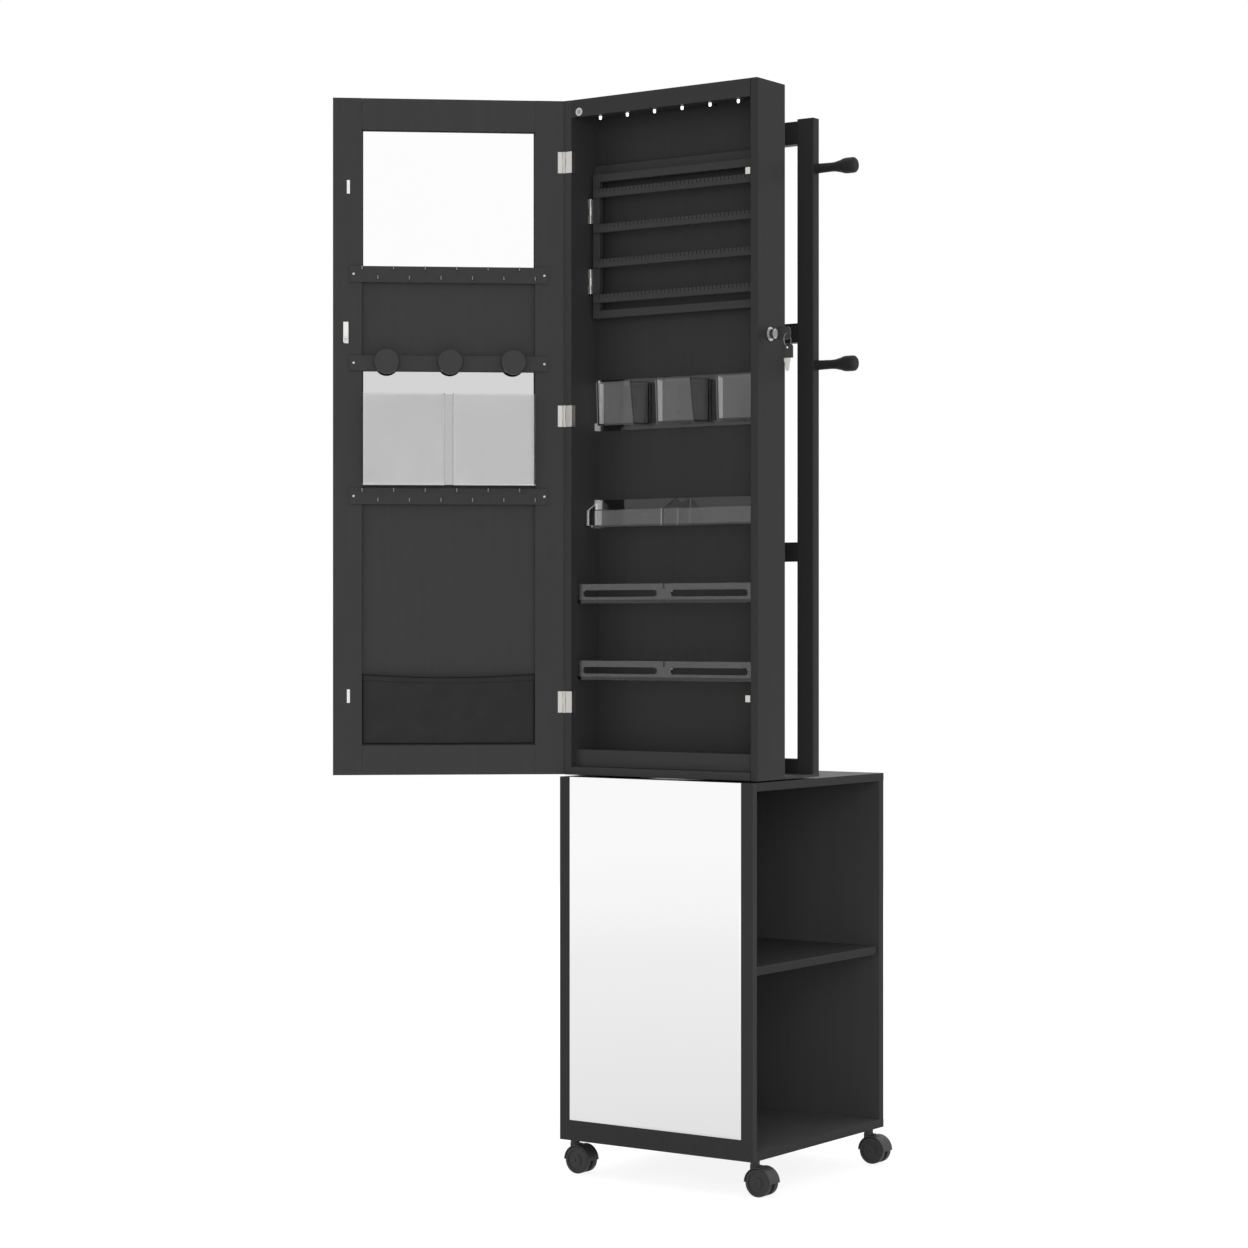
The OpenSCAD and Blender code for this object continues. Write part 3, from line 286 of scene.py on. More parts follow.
def addLamp(kind, lamp):
    spot = Vector(lamp["spot"])
    bpy.ops.object.light_add(type=kind, location=spot)
    light = bpy.context.active_object
    light.name = lamp["name"]
    light.data.energy = lamp["power"]
    light.rotation_euler = (Vector(lamp["aim"]) - spot).to_track_quat("-Z", "Y").to_euler()
    light.visible_glossy = False
    light.visible_transmission = False
    return light.data


def makeLamps():
    lamps = [
        {"name": "keyLamp", "spot": (2.7, -4.1, 1.35), "aim": (0, -0.1, 0.8),
         "size": 2.2, "power": 85},
        {"name": "fillLamp", "spot": (-3.4, -3.6, 2.2), "aim": (0, -0.1, 0.9),
         "size": 3.0, "power": 12},
        {"name": "topLamp", "spot": (-0.4, 0.2, 4.4), "aim": (0, 0, 0.5),
         "size": 3.0, "power": 50},
        {"name": "rearLamp", "spot": (-2.6, 3.6, 2.4), "aim": (0, 0, 0.8),
         "size": 3.0, "power": 120},
    ]
    for lamp in lamps:
        addLamp("AREA", lamp).size = lamp["size"]
    # A narrow soft lamp that reaches into the base's open side
    bay = {
        "name": "bayLamp", "spot": (2.9, -1.6, 0.75), "aim": (0.17, 0.05, 0.25),
        "cone": 10.4, "blend": 0.5, "size": 0.35, "power": 220,
    }
    light = addLamp("SPOT", bay)
    light.spot_size = math.radians(bay["cone"])
    light.spot_blend = bay["blend"]
    light.shadow_soft_size = bay["size"]


def makeFloor():
    floor = {
        "radius": 7.0, "corners": 96, "tone": 0.86, "roughness": 0.9, "glow": 0.72,
        "nearFrom": 0.3, "nearTone": 0.76, "farFrom": 4.5, "farTone": 1.04, "white": 1.2,
        "fadeFrom": 3.2, "fadeTo": 6.5,
    }
    dropPick()
    bpy.ops.mesh.primitive_circle_add(
        vertices=floor["corners"], radius=floor["radius"], fill_type="NGON"
    )
    ground = bpy.context.active_object
    ground.name = "floor"
    finish, tree, shader = startFinish("paleFloor", {
        "Base Color": (floor["tone"],) * 3 + (1,), "Roughness": floor["roughness"],
        "Specular IOR Level": 0.0,
    })
    far = tree.nodes.new("ShaderNodeVectorMath")
    far.operation = "LENGTH"
    feed(tree, placeNode(tree)["Object"], far.inputs[0])
    distance = far.outputs["Value"]
    # Painted shade: as a mirror sees it, the floor darkens towards the object; the camera sees it
    # white
    mirrorShade = rangeNode(
        tree, distance, floor["nearFrom"], floor["farFrom"], floor["nearTone"], floor["farTone"]
    )
    rays = tree.nodes.new("ShaderNodeLightPath").outputs
    straight = mathNode(tree, "MULTIPLY", rays["Is Camera Ray"], floor["white"])
    glow = tree.nodes.new("ShaderNodeEmission")
    glow.inputs["Color"].default_value = (1, 1, 1, 1)
    feed(tree, eitherOf(tree, mirrorShade, straight), glow.inputs["Strength"])
    share = mathNode(tree, "MULTIPLY", seenRays(tree), floor["glow"])
    lit = mixShaders(tree, share, shader.outputs[0], glow.outputs[0])
    fade = rangeNode(tree, distance, floor["fadeFrom"], floor["fadeTo"], kind="SMOOTHSTEP")
    clear = tree.nodes.new("ShaderNodeBsdfTransparent")
    edge = mixShaders(tree, fade, lit, clear.outputs[0])
    feed(tree, edge, tree.nodes["Material Output"].inputs["Surface"])
    ground.data.materials.append(finish)


# Effects that several finishes share

def startGroup(name, inputs, outputs):
    group = bpy.data.node_groups.new(name, "ShaderNodeTree")
    for label, kind, value in inputs:
        socket = group.interface.new_socket(name=label, in_out="INPUT", socket_type=kind)
        if value is not None:
            socket.default_value = value
    for label, kind in outputs:
        group.interface.new_socket(name=label, in_out="OUTPUT", socket_type=kind)
    entry = group.nodes.new("NodeGroupInput").outputs
    return group, entry, group.nodes.new("NodeGroupOutput").inputs


def makeGrainGroup():
    # Faint streaks, fine pores and patches of shine; out come a colour, a roughness and a height
    grain = {
        "streakDetail": 5.0, "streakRough": 0.6, "patchScale": 7.0, "patchDetail": 4.0,
        "poreDetail": 2.0, "streakHeight": 0.3,
    }
    group, entry, result = startGroup(
        "surfaceGrain",
        [
            ("Vector", "NodeSocketVector", None),
            ("Tone", "NodeSocketColor", (0.03, 0.03, 0.03, 1)),
            ("Streak", "NodeSocketFloat", 0.1), ("Streak Scale", "NodeSocketFloat", 30.0),
            ("Pore Scale", "NodeSocketFloat", 700.0), ("Shine", "NodeSocketFloat", 0.45),
            ("Patches", "NodeSocketFloat", 0.1),
        ],
        [
            ("Color", "NodeSocketColor"), ("Roughness", "NodeSocketFloat"),
            ("Height", "NodeSocketFloat"),
        ],
    )
    vector = entry["Vector"]
    streak = noiseNode(
        group, vector, entry["Streak Scale"], grain["streakDetail"], grain["streakRough"]
    )
    swing = mathNode(group, "MULTIPLY", mathNode(group, "SUBTRACT", streak, 0.5), entry["Streak"])
    level = mathNode(group, "MULTIPLY_ADD", swing, 2.0, 1.0)
    feed(group, scaleTone(group, entry["Tone"], level), result["Color"])
    patch = noiseNode(group, vector, grain["patchScale"], grain["patchDetail"])
    spread = mathNode(group, "MULTIPLY", mathNode(group, "SUBTRACT", patch, 0.5), entry["Patches"])
    shine = mathNode(group, "ADD", spread, entry["Shine"], clamp=True)
    feed(group, shine, result["Roughness"])
    pore = noiseNode(group, vector, entry["Pore Scale"], grain["poreDetail"])
    height = mathNode(group, "MULTIPLY_ADD", streak, grain["streakHeight"], pore)
    feed(group, height, result["Height"])
    return group


def makeEdgeGroup():
    # A mask that is bright where an edge turns
    group, entry, result = startGroup(
        "edgeLight",
        [("Width", "NodeSocketFloat", 0.0008), ("Strength", "NodeSocketFloat", 2.0)],
        [("Mask", "NodeSocketFloat")],
    )
    rounded = group.nodes.new("ShaderNodeBevel")
    rounded.samples = 4
    feed(group, entry["Width"], rounded.inputs["Radius"])
    flat = group.nodes.new("ShaderNodeNewGeometry")
    along = group.nodes.new("ShaderNodeVectorMath")
    along.operation = "DOT_PRODUCT"
    feed(group, rounded.outputs["Normal"], along.inputs[0])
    feed(group, flat.outputs["Normal"], along.inputs[1])
    turned = mathNode(group, "SUBTRACT", 1.0, along.outputs["Value"])
    mask = mathNode(group, "MULTIPLY", turned, entry["Strength"], clamp=True)
    feed(group, mask, result["Mask"])
    return group


def makeWeaveGroup():
    # Crossing threads
    weave = {"distortion": 0.6, "detail": 1.0}
    group, entry, result = startGroup(
        "threadWeave",
        [("Vector", "NodeSocketVector", None), ("Threads", "NodeSocketFloat", 260.0)],
        [("Height", "NodeSocketFloat")],
    )
    threads = []
    for direction in ("X", "Y"):
        wave = group.nodes.new("ShaderNodeTexWave")
        wave.bands_direction = direction
        wave.inputs["Distortion"].default_value = weave["distortion"]
        wave.inputs["Detail"].default_value = weave["detail"]
        feed(group, entry["Vector"], wave.inputs["Vector"])
        feed(group, entry["Threads"], wave.inputs["Scale"])
        threads.append(wave.outputs["Fac"])
    feed(group, eitherOf(group, *threads), result["Height"])
    return group


grainGroup = makeGrainGroup()
edgeGroup = makeEdgeGroup()
weaveGroup = makeWeaveGroup()


def placeGroup(tree, group, **values):
    node = tree.nodes.new("ShaderNodeGroup")
    node.node_tree = group
    for label, value in values.items():
        node.inputs[label.replace("_", " ")].default_value = value
    return node


# Finishes

def startFinish(name, values):
    finish = bpy.data.materials.new(name)
    finish.use_nodes = True
    shader = finish.node_tree.nodes["Principled BSDF"]
    for socket, value in values.items():
        shader.inputs[socket].default_value = value
    return finish, finish.node_tree, shader


def dim(finish, where, level):
    # Darkens the finish's colour where the mask is 1
    tree = finish.node_tree
    colour = tree.nodes["Principled BSDF"].inputs["Base Color"]
    plain = colour.links[0].from_socket
    feed(tree, mixTones(tree, where, plain, (level,) * 3 + (1,), "MULTIPLY"), colour)


def grainFinish(name, look, values, stretch=(1, 1, 1)):
    # A solid finish with grain, a painted highlight on its edges and a fine bump
    finish, tree, shader = startFinish(name, values)
    grain = placeGroup(
        tree, grainGroup, Tone=(*look["tone"], 1), Streak=look["streak"],
        Streak_Scale=look["streakScale"], Pore_Scale=look["poreScale"], Shine=look["shine"],
        Patches=look["patches"],
    )
    feed(tree, objectVector(tree, stretch), grain.inputs["Vector"])
    edge = placeGroup(tree, edgeGroup, Width=look["edgeWidth"], Strength=look["edgeStrength"])
    # Painted highlight: the colour turns lighter along the edges
    edgeHighlit = mixTones(tree, edge.outputs["Mask"], grain.outputs["Color"], (*look["edgeTone"], 1))
    feed(tree, edgeHighlit, shader.inputs["Base Color"])
    feed(tree, grain.outputs["Roughness"], shader.inputs["Roughness"])
    bump = bumpNode(tree, grain.outputs["Height"], look["bump"], look["bumpDepth"])
    feed(tree, bump, shader.inputs["Normal"])
    return finish


def boardFinish(name, tone, along, gloss=0.1, endShade=1.0):
    # along is the way the grain runs; the last argument paints shade on the end faces towards X,
    # which the bay lamp lights too brightly
    look = {
        "tone": (tone, tone, tone * 1.01), "streak": 0.1, "streakScale": 6.0, "poreScale": 42.0,
        "shine": 0.44, "patches": 0.1, "edgeWidth": 0.0009, "edgeStrength": 1.2,
        "edgeTone": (tone * 1.9,) * 3, "bump": 0.12, "bumpDepth": 0.0002, "endShadeFacing": 0.9,
    }
    stretch = {"x": (1, 18, 18), "y": (18, 1, 18), "z": (18, 18, 1)}[along]
    finish = grainFinish(name, look, {"Specular IOR Level": gloss}, stretch)
    if endShade != 1.0:
        tree = finish.node_tree
        facing = splitAxes(tree, placeNode(tree)["Normal"])
        dim(finish, above(tree, mathNode(tree, "ABSOLUTE", facing["X"]), look["endShadeFacing"]), endShade)
    return finish


def plasticFinish(name, tone, shine, gloss=0.35, coat=0.0):
    look = {
        "tone": tone, "streak": 0.05, "streakScale": 60.0, "poreScale": 1400.0, "shine": shine,
        "patches": 0.12, "edgeWidth": 0.0006, "edgeStrength": 1.0,
        "edgeTone": tuple(part * 1.8 for part in tone), "bump": 0.08, "bumpDepth": 0.0001,
    }
    return grainFinish(name, look, {"Specular IOR Level": gloss, "Coat Weight": coat})


def metalFinish(name, tone, shine, edge=1.15):
    look = {
        "tone": tone, "streak": 0.08, "streakScale": 40.0, "poreScale": 900.0, "shine": shine,
        "patches": 0.1, "edgeWidth": 0.0007, "edgeStrength": 1.6,
        "edgeTone": tuple(min(1.0, part * edge) for part in tone),
        "bump": 0.05, "bumpDepth": 0.0001,
    }
    return grainFinish(name, look, {"Metallic": 1.0})


def mirrorFinish(name, tone, rim):
    # Silvered glass: a trace of wiping marks in the gloss, and a slightly duller ground edge
    glass = {
        "stretch": (1, 1, 0.35), "turn": (0.2, 0.3, 0.1), "smearScale": 5.0, "smearDetail": 4.0,
        "smear": 0.05, "polish": 0.004, "rimWidth": 0.0006, "rimStrength": 0.8,
        "dust": 0.03, "dustTone": (0.6, 0.6, 0.6, 1),
    }
    finish, tree, shader = startFinish(name, {"Metallic": 1.0})
    vector = objectVector(tree, glass["stretch"], glass["turn"])
    smear = noiseNode(tree, vector, glass["smearScale"], glass["smearDetail"])
    rough = mathNode(tree, "MULTIPLY", mathNode(tree, "POWER", smear, 3.0), glass["smear"])
    feed(tree, mathNode(tree, "ADD", rough, glass["polish"]), shader.inputs["Roughness"])
    edge = placeGroup(tree, edgeGroup, Width=glass["rimWidth"], Strength=glass["rimStrength"])
    pane = mixTones(tree, edge.outputs["Mask"], (*tone, 1), (*rim, 1))
    dust = mathNode(tree, "MULTIPLY", smear, glass["dust"])
    dusty = mixTones(tree, dust, pane, glass["dustTone"], "MULTIPLY")
    feed(tree, dusty, shader.inputs["Base Color"])
    return finish


def lowMirrorFinish():
    # The pane behind the two boxes, with painted shade in a strip where the boxes' inner walls
    # stand over it, up to the boxes' top
    boxes = {
        "tone": (0.66, 0.66, 0.66), "rim": (0.6, 0.62, 0.62),
        "mid": 0.00155, "half": 0.0078, "top": 1.1585, "dim": 0.73,
    }
    finish = mirrorFinish("mirrorGlassLow", boxes["tone"], boxes["rim"])
    tree = finish.node_tree
    shut = tree.nodes.new("ShaderNodeMapping")
    shut.vector_type = "TEXTURE"
    shut.inputs["Location"].default_value = doorHinge
    shut.inputs["Rotation"].default_value = (0, 0, doorShut)
    feed(tree, placeNode(tree)["Object"], shut.inputs["Vector"])
    axes = splitAxes(tree, shut.outputs[0])
    aside = awayFrom(tree, axes["X"], boxes["mid"] - doorHinge.x)
    low = below(tree, axes["Z"], boxes["top"] - doorHinge.z)
    dim(finish, bothOf(tree, below(tree, aside, boxes["half"]), low), boxes["dim"])
    return finish


def acrylicFinish(name, tone, rough, coat=0.0):
    acrylic = {
        "bend": 1.49, "hazeScale": 14.0, "haze": 0.06, "clear": 0.97, "dull": 0.05,
        "shade": (0.93, 0.93, 0.93, 1),
    }
    finish, tree, shader = startFinish(
        name, {"Transmission Weight": 1.0, "IOR": acrylic["bend"], "Coat Weight": coat}
    )
    haze = noiseNode(tree, objectVector(tree), acrylic["hazeScale"])
    level = mathNode(tree, "MULTIPLY_ADD", haze, acrylic["haze"], acrylic["clear"])
    feed(tree, scaleTone(tree, tone, level), shader.inputs["Base Color"])
    dull = mathNode(tree, "MULTIPLY_ADD", haze, acrylic["dull"], rough)
    feed(tree, dull, shader.inputs["Roughness"])
    # Light falls through the acrylic on what stands behind it
    rays = tree.nodes.new("ShaderNodeLightPath").outputs
    through = tree.nodes.new("ShaderNodeBsdfTransparent")
    through.inputs["Color"].default_value = acrylic["shade"]
    shaded = mixShaders(tree, rays["Is Shadow Ray"], shader.outputs[0], through.outputs[0])
    feed(tree, shaded, tree.nodes["Material Output"].inputs["Surface"])
    return finish


def smokeFinish():
    # The cabinet's acrylic, with painted light: its end posts, the tray's ends and divider and the
    # cups' left walls glow faintly, standing in for the lamps' light that the acrylic carries to
    # them
    lit = {
        "foot": 0.95, "post": 0.1541, "glow": 0.2,
        "trayTop": 1.012, "trayEnd": 0.1503, "trayBack": -0.1185,
        "split": -0.005, "splitHalf": 0.014, "line": 0.0007, "lineGlow": 0.13,
        "cups": 1.1, "pitch": 0.107, "wall": -0.027, "cupGlow": 0.17, "facing": 0.85,
    }
    finish = acrylicFinish("smokedAcrylic", (0.7, 0.7, 0.7), 0.02, 0.3)
    tree = finish.node_tree
    shader = tree.nodes["Principled BSDF"]
    place = placeNode(tree)
    axes = splitAxes(tree, place["Object"])
    turned = mathNode(tree, "ABSOLUTE", splitAxes(tree, place["Normal"])["X"])
    across = mathNode(tree, "ABSOLUTE", axes["X"])
    high = above(tree, axes["Z"], lit["foot"])
    inTray = bothOf(tree, high, below(tree, axes["Z"], lit["trayTop"]))
    behind = bothOf(tree, high, above(tree, axes["Y"], lit["trayBack"]))
    post = bothOf(tree, above(tree, across, lit["post"]), behind)
    trayEnd = bothOf(tree, above(tree, across, lit["trayEnd"]), behind)
    trayEnd = bothOf(tree, trayEnd, inTray)
    fromWall = awayFrom(tree, awayFrom(tree, axes["X"], lit["split"]), lit["splitHalf"])
    line = bothOf(tree, below(tree, fromWall, lit["line"]), inTray)
    line = bothOf(tree, line, below(tree, turned, lit["facing"]))
    onCup = mathNode(tree, "WRAP", axes["X"], lit["pitch"] / 2, -lit["pitch"] / 2)
    wall = bothOf(tree, below(tree, onCup, lit["wall"]), above(tree, turned, lit["facing"]))
    wall = bothOf(tree, wall, above(tree, axes["Z"], lit["cups"]))
    glow = mathNode(tree, "MULTIPLY", eitherOf(tree, post, trayEnd), lit["glow"])
    glow = eitherOf(tree, glow, mathNode(tree, "MULTIPLY", wall, lit["cupGlow"]))
    glow = eitherOf(tree, glow, mathNode(tree, "MULTIPLY", line, lit["lineGlow"]))
    feed(tree, glow, shader.inputs["Emission Color"])
    shader.inputs["Emission Strength"].default_value = 1.0
    return finish


def lensFinish():
    glow = {
        "tone": (1.0, 0.98, 0.94, 1), "core": (1, 1, 1, 1), "strength": 1.6, "roughness": 0.15,
        "spreadScale": 500.0, "spreadDetail": 1.0,
    }
    finish, tree, shader = startFinish("lampLens", {
        "Base Color": glow["tone"], "Roughness": glow["roughness"],
        "Emission Strength": glow["strength"],
    })
    spread = noiseNode(tree, objectVector(tree), glow["spreadScale"], glow["spreadDetail"])
    warm = mixTones(tree, spread, glow["tone"], glow["core"])
    feed(tree, warm, shader.inputs["Emission Color"])
    return finish


def keyFinish(name, metalWhere):
    # Black moulded bow, bright blade; metalWhere builds the mask from the place on the key
    key = {
        "bow": (0.022, 0.022, 0.023, 1), "blade": (0.62, 0.61, 0.58, 1), "gloss": 0.35,
        "grainScale": 900.0, "grainDetail": 2.0, "grain": 0.15, "roughness": 0.25,
    }
    finish, tree, shader = startFinish(name, {"Specular IOR Level": key["gloss"]})
    mask = metalWhere(tree, splitAxes(tree, placeNode(tree)["Object"]))
    grain = noiseNode(tree, objectVector(tree), key["grainScale"], key["grainDetail"])
    feed(tree, mixTones(tree, mask, key["bow"], key["blade"]), shader.inputs["Base Color"])
    feed(tree, mask, shader.inputs["Metallic"])
    rough = mathNode(tree, "MULTIPLY_ADD", grain, key["grain"], key["roughness"])
    feed(tree, rough, shader.inputs["Roughness"])
    return finish


# Where the metal starts on the two keys
keyPlaces = {
    "bowStart": 0.184, "bladeTop": 1.1966, "bowTop": 1.2185, "bowMid": -0.138,
    "bowHalf": 0.00125, "wireShine": 0.3,
}


def onMainKey(tree, axes):
    return below(tree, axes["X"], keyPlaces["bowStart"])


def onSpareKey(tree, axes):
    blade = below(tree, axes["Z"], keyPlaces["bladeTop"])
    high = above(tree, axes["Z"], keyPlaces["bowTop"])
    wire = above(tree, awayFrom(tree, axes["Y"], keyPlaces["bowMid"]), keyPlaces["bowHalf"])
    ring = mathNode(tree, "MULTIPLY", eitherOf(tree, high, wire), keyPlaces["wireShine"])
    return eitherOf(tree, blade, ring)


# The pocket: one sheet of cloth with a turned hem, sewn down at its sides and foot
pocket = {
    "mid": 0.00155, "panel": -0.181, "foot": 0.638, "width": 0.2545, "height": 0.103,
    "lift": 0.0021, "bulge": 0.0108, "sag": 0.0045, "cloth": 0.0009, "full": 0.86,
    "sideCurve": 0.35, "footCurve": 0.7, "rise": 1.15, "riseStart": 0.02,
    "skin": 0.0003, "seamLift": 0.001, "foldScale": 1.8, "still": 0.25,
    "columns": 96, "rows": 40, "hemRows": 3, "hemFrom": 0.915, "hemTo": 1.004,
    "hemOut": 0.0006, "hemThick": 2.2, "hemRound": 0.0004, "smooth": 50,
}
# Each fold: where it starts across the mouth, its slope, its depth and its width
pocketFolds = (
    (0.06, 0.42, 0.0011, 0.030), (0.15, 0.3, 0.0007, 0.022), (0.94, -0.4, 0.0011, 0.030),
    (0.86, -0.26, 0.0007, 0.024), (0.36, 0.12, 0.0006, 0.026), (0.62, -0.1, 0.0006, 0.028),
)
# Each ripple: how often it comes across and down, which one it is and its depth
pocketRipples = ((7.0, 3.0, 0.4, 0.0012), (19.0, 6.0, 2.1, 0.0004))


def clothFinish():
    cloth = {
        "tone": (0.021, 0.021, 0.022, 1), "thread": (0.036, 0.036, 0.037, 1),
        "threads": 300.0, "fuzzScale": 30.0, "fuzzDetail": 4.0, "bump": 0.25, "bumpDepth": 0.0002,
    }
    # Darker along the cloth's sides, foot and mouth, and in a faint line along the hem
    seam = {
        "side": 0.0012, "foot": 0.0015, "mouth": 0.1016, "hem": 0.0942, "stitch": 0.0005,
        "faint": 0.6, "tone": 0.3,
    }
    finish, tree, shader = startFinish("pocketCloth", {
        "Roughness": 0.92, "Specular IOR Level": 0.1, "Sheen Weight": 0.12, "Sheen Roughness": 0.5,
    })
    place = placeNode(tree)
    weave = placeGroup(tree, weaveGroup, Threads=cloth["threads"])
    feed(tree, place["UV"], weave.inputs["Vector"])
    fuzz = noiseNode(tree, place["UV"], cloth["fuzzScale"], cloth["fuzzDetail"])
    shown = mathNode(tree, "MULTIPLY", weave.outputs["Height"], fuzz, clamp=True)
    tone = mixTones(tree, shown, cloth["tone"], cloth["thread"])
    feed(tree, tone, shader.inputs["Base Color"])
    along = splitAxes(tree, place["UV"])
    fromMid = awayFrom(tree, along["X"], pocket["width"] / 2)
    side = above(tree, fromMid, pocket["width"] / 2 - seam["side"])
    foot = below(tree, along["Y"], seam["foot"])
    mouth = above(tree, along["Y"], seam["mouth"])
    stitch = below(tree, awayFrom(tree, along["Y"], seam["hem"]), seam["stitch"])
    stitch = mathNode(tree, "MULTIPLY", stitch, seam["faint"])
    sewn = eitherOf(tree, eitherOf(tree, side, foot), eitherOf(tree, mouth, stitch))
    dim(finish, sewn, seam["tone"])
    bump = bumpNode(tree, weave.outputs["Height"], cloth["bump"], cloth["bumpDepth"])
    feed(tree, bump, shader.inputs["Normal"])
    return finish


def makeFinishes():
    mirrorRim = (0.75, 0.78, 0.78)
    return {
        # The black board is one material in several tones, as painted light and shade: the base's
        # back panel, floor and shelf are lighter because the lamps reach little into the base, and
        # the tower's right side and the base's front are darker where the lamps light them
        # strongly, the coat frame darker for the shade it stands in
        "boardUp": boardFinish("blackBoardUpright", 0.036, "z"),
        "sideUp": boardFinish("towerSideBoard", 0.0275, "z"),
        "baseFront": boardFinish("baseFrontBoard", 0.027, "z"),
        "baseBack": boardFinish("baseBackBoard", 0.042, "z", endShade=0.52),
        "baseAcross": boardFinish("baseBoardAcross", 0.036, "x", endShade=0.6),
        "baseFloor": boardFinish("baseFloorBoard", 0.08, "x", endShade=0.28),
        "fascia": boardFinish("fasciaBoard", 0.03, "x"),
        "boardAcross": boardFinish("blackBoardAcross", 0.036, "x"),
        "boardDeep": boardFinish("blackBoardDeep", 0.044, "y", endShade=0.4),
        "doorUp": boardFinish("doorBoardUpright", 0.04, "z"),
        "doorAcross": boardFinish("doorBoardAcross", 0.04, "x"),
        "coatUp": boardFinish("coatFrameUpright", 0.026, "z"),
        "coatAcross": boardFinish("coatFrameAcross", 0.021, "x"),
        "lining": boardFinish("blackLining", 0.03, "z", gloss=0.08),
        "mirror": mirrorFinish("mirrorGlass", (0.985, 0.985, 0.985), mirrorRim),
        "baseMirror": mirrorFinish("mirrorGlassBase", (0.95, 0.95, 0.95), mirrorRim),
        "lowMirror": lowMirrorFinish(),
        # The last number of a metal sets how much lighter its painted edge highlight is; on the
        # hook wire it paints bright tips
        "steel": metalFinish("bearingSteel", (0.55, 0.55, 0.55), 0.3),
        "nickel": metalFinish("satinNickel", (0.63, 0.605, 0.57), 0.36, edge=1.3),
        "chrome": metalFinish("brightNickel", (0.5, 0.5, 0.5), 0.24, edge=1.3),
        "bright": metalFinish("plateNickel", (0.86, 0.85, 0.82), 0.42, edge=1.1),
        "hook": metalFinish("hookWire", (0.24, 0.24, 0.24), 0.3, edge=3.0),
        "button": metalFinish("switchButton", (0.34, 0.34, 0.34), 0.5, edge=1.6),
        "backing": plasticFinish("mirrorBackPaint", (0.012, 0.012, 0.012), 0.7),
        "castor": plasticFinish("castorPlastic", (0.03, 0.03, 0.031), 0.38),
        "wheel": plasticFinish("wheelPlastic", (0.024, 0.024, 0.025), 0.5),
        "plastic": plasticFinish("blackPlastic", (0.02, 0.02, 0.02), 0.5),
        "knob": plasticFinish("knobPlastic", (0.021, 0.021, 0.021), 0.28, coat=0.05),
        "smoke": smokeFinish(),
        "clear": acrylicFinish("clearAcrylic", (0.93, 0.93, 0.93), 0.0),
        "lens": lensFinish(),
        "cloth": clothFinish(),
        "key": keyFinish("keyBowAndBlade", onMainKey),
        "spareKey": keyFinish("spareKeyOnRing", onSpareKey),
    }


def dressNodes(finishes):
    uses = {
        "boardUp": ["base_left_panel", "cabinet_left_side"],
        "sideUp": ["cabinet_right_side"],
        "baseFront": ["base_front_panel"],
        "baseBack": ["base_back_panel"],
        "baseAcross": ["base_top_panel"],
        "baseFloor": ["base_bottom_panel"],
        "fascia": ["cabinet_fascia"],
        "doorUp": ["door_frame", "door_panel"],
        "doorAcross": ["door_strips"],
        "boardAcross": [
            "cabinet_top", "cabinet_bottom", "cabinet_lip", "rack_back_strip", "rack_frame",
            "rack_bars", "tower_plate",
        ],
        "boardDeep": ["base_shelf"],
        "coatUp": ["coat_frame_posts"],
        "coatAcross": ["coat_frame_rails", "coat_pegs", "coat_frame_spacers"],
        "lining": ["cabinet_back"],
        "mirror": ["base_front_mirror", "door_outer_mirror", "door_inner_mirrors"],
        "steel": ["turntable_lower", "turntable_upper"],
        "nickel": ["cabinet_hinge_leaves", "hinge_pins", "door_hinge_leaves", "magnet_catches"],
        "bright": ["rack_hinge_leaves", "door_strike_plates"],
        "hook": ["door_hooks"],
        "chrome": ["lock_housing", "lock_core", "switch_ring"],
        "button": ["switch_button"],
        "castor": [f"castor_fork_{corner}" for corner in ("fl", "fr", "rl", "rr")],
        "wheel": [f"castor_wheels_{corner}" for corner in ("fl", "fr", "rl", "rr")],
        "plastic": ["led_strip", "battery_box"],
        "knob": ["door_knobs"],
        "smoke": ["shelf_boards", "shelf_fences", "clear_tray", "clear_cups"],
        "clear": ["door_boxes"],
        "lens": ["led_lenses"],
        "cloth": ["door_pocket"],
        "key": ["key"],
        "spareKey": ["key_ring"],
    }
    for finish, names in uses.items():
        for name in names:
            dress(nodes[name], finishes[finish])
    missed = sorted(set(nodes) - {name for names in uses.values() for name in names})
    print("finishes on", len(nodes) - len(missed), "nodes; without one:", missed)


# Mirrors: panes whose front is ground down along the edges

def makePane(name, low, high, outward, bevel, drop):
    # outward is -1 for a pane that faces -Y when the door is shut, 1 for +Y
    low, high = Vector(low), Vector(high)
    if outward < 0:
        low.y += drop
    else:
        high.y -= drop
    pane = startBlock(name, low, high)
    editFaces(pane, lambda face: face.normal.y * outward > 0.9)
    bpy.ops.mesh.inset(thickness=bevel, depth=0)
    bpy.ops.transform.translate(value=(0, outward * drop, 0))
    leaveEdit()
    return pane


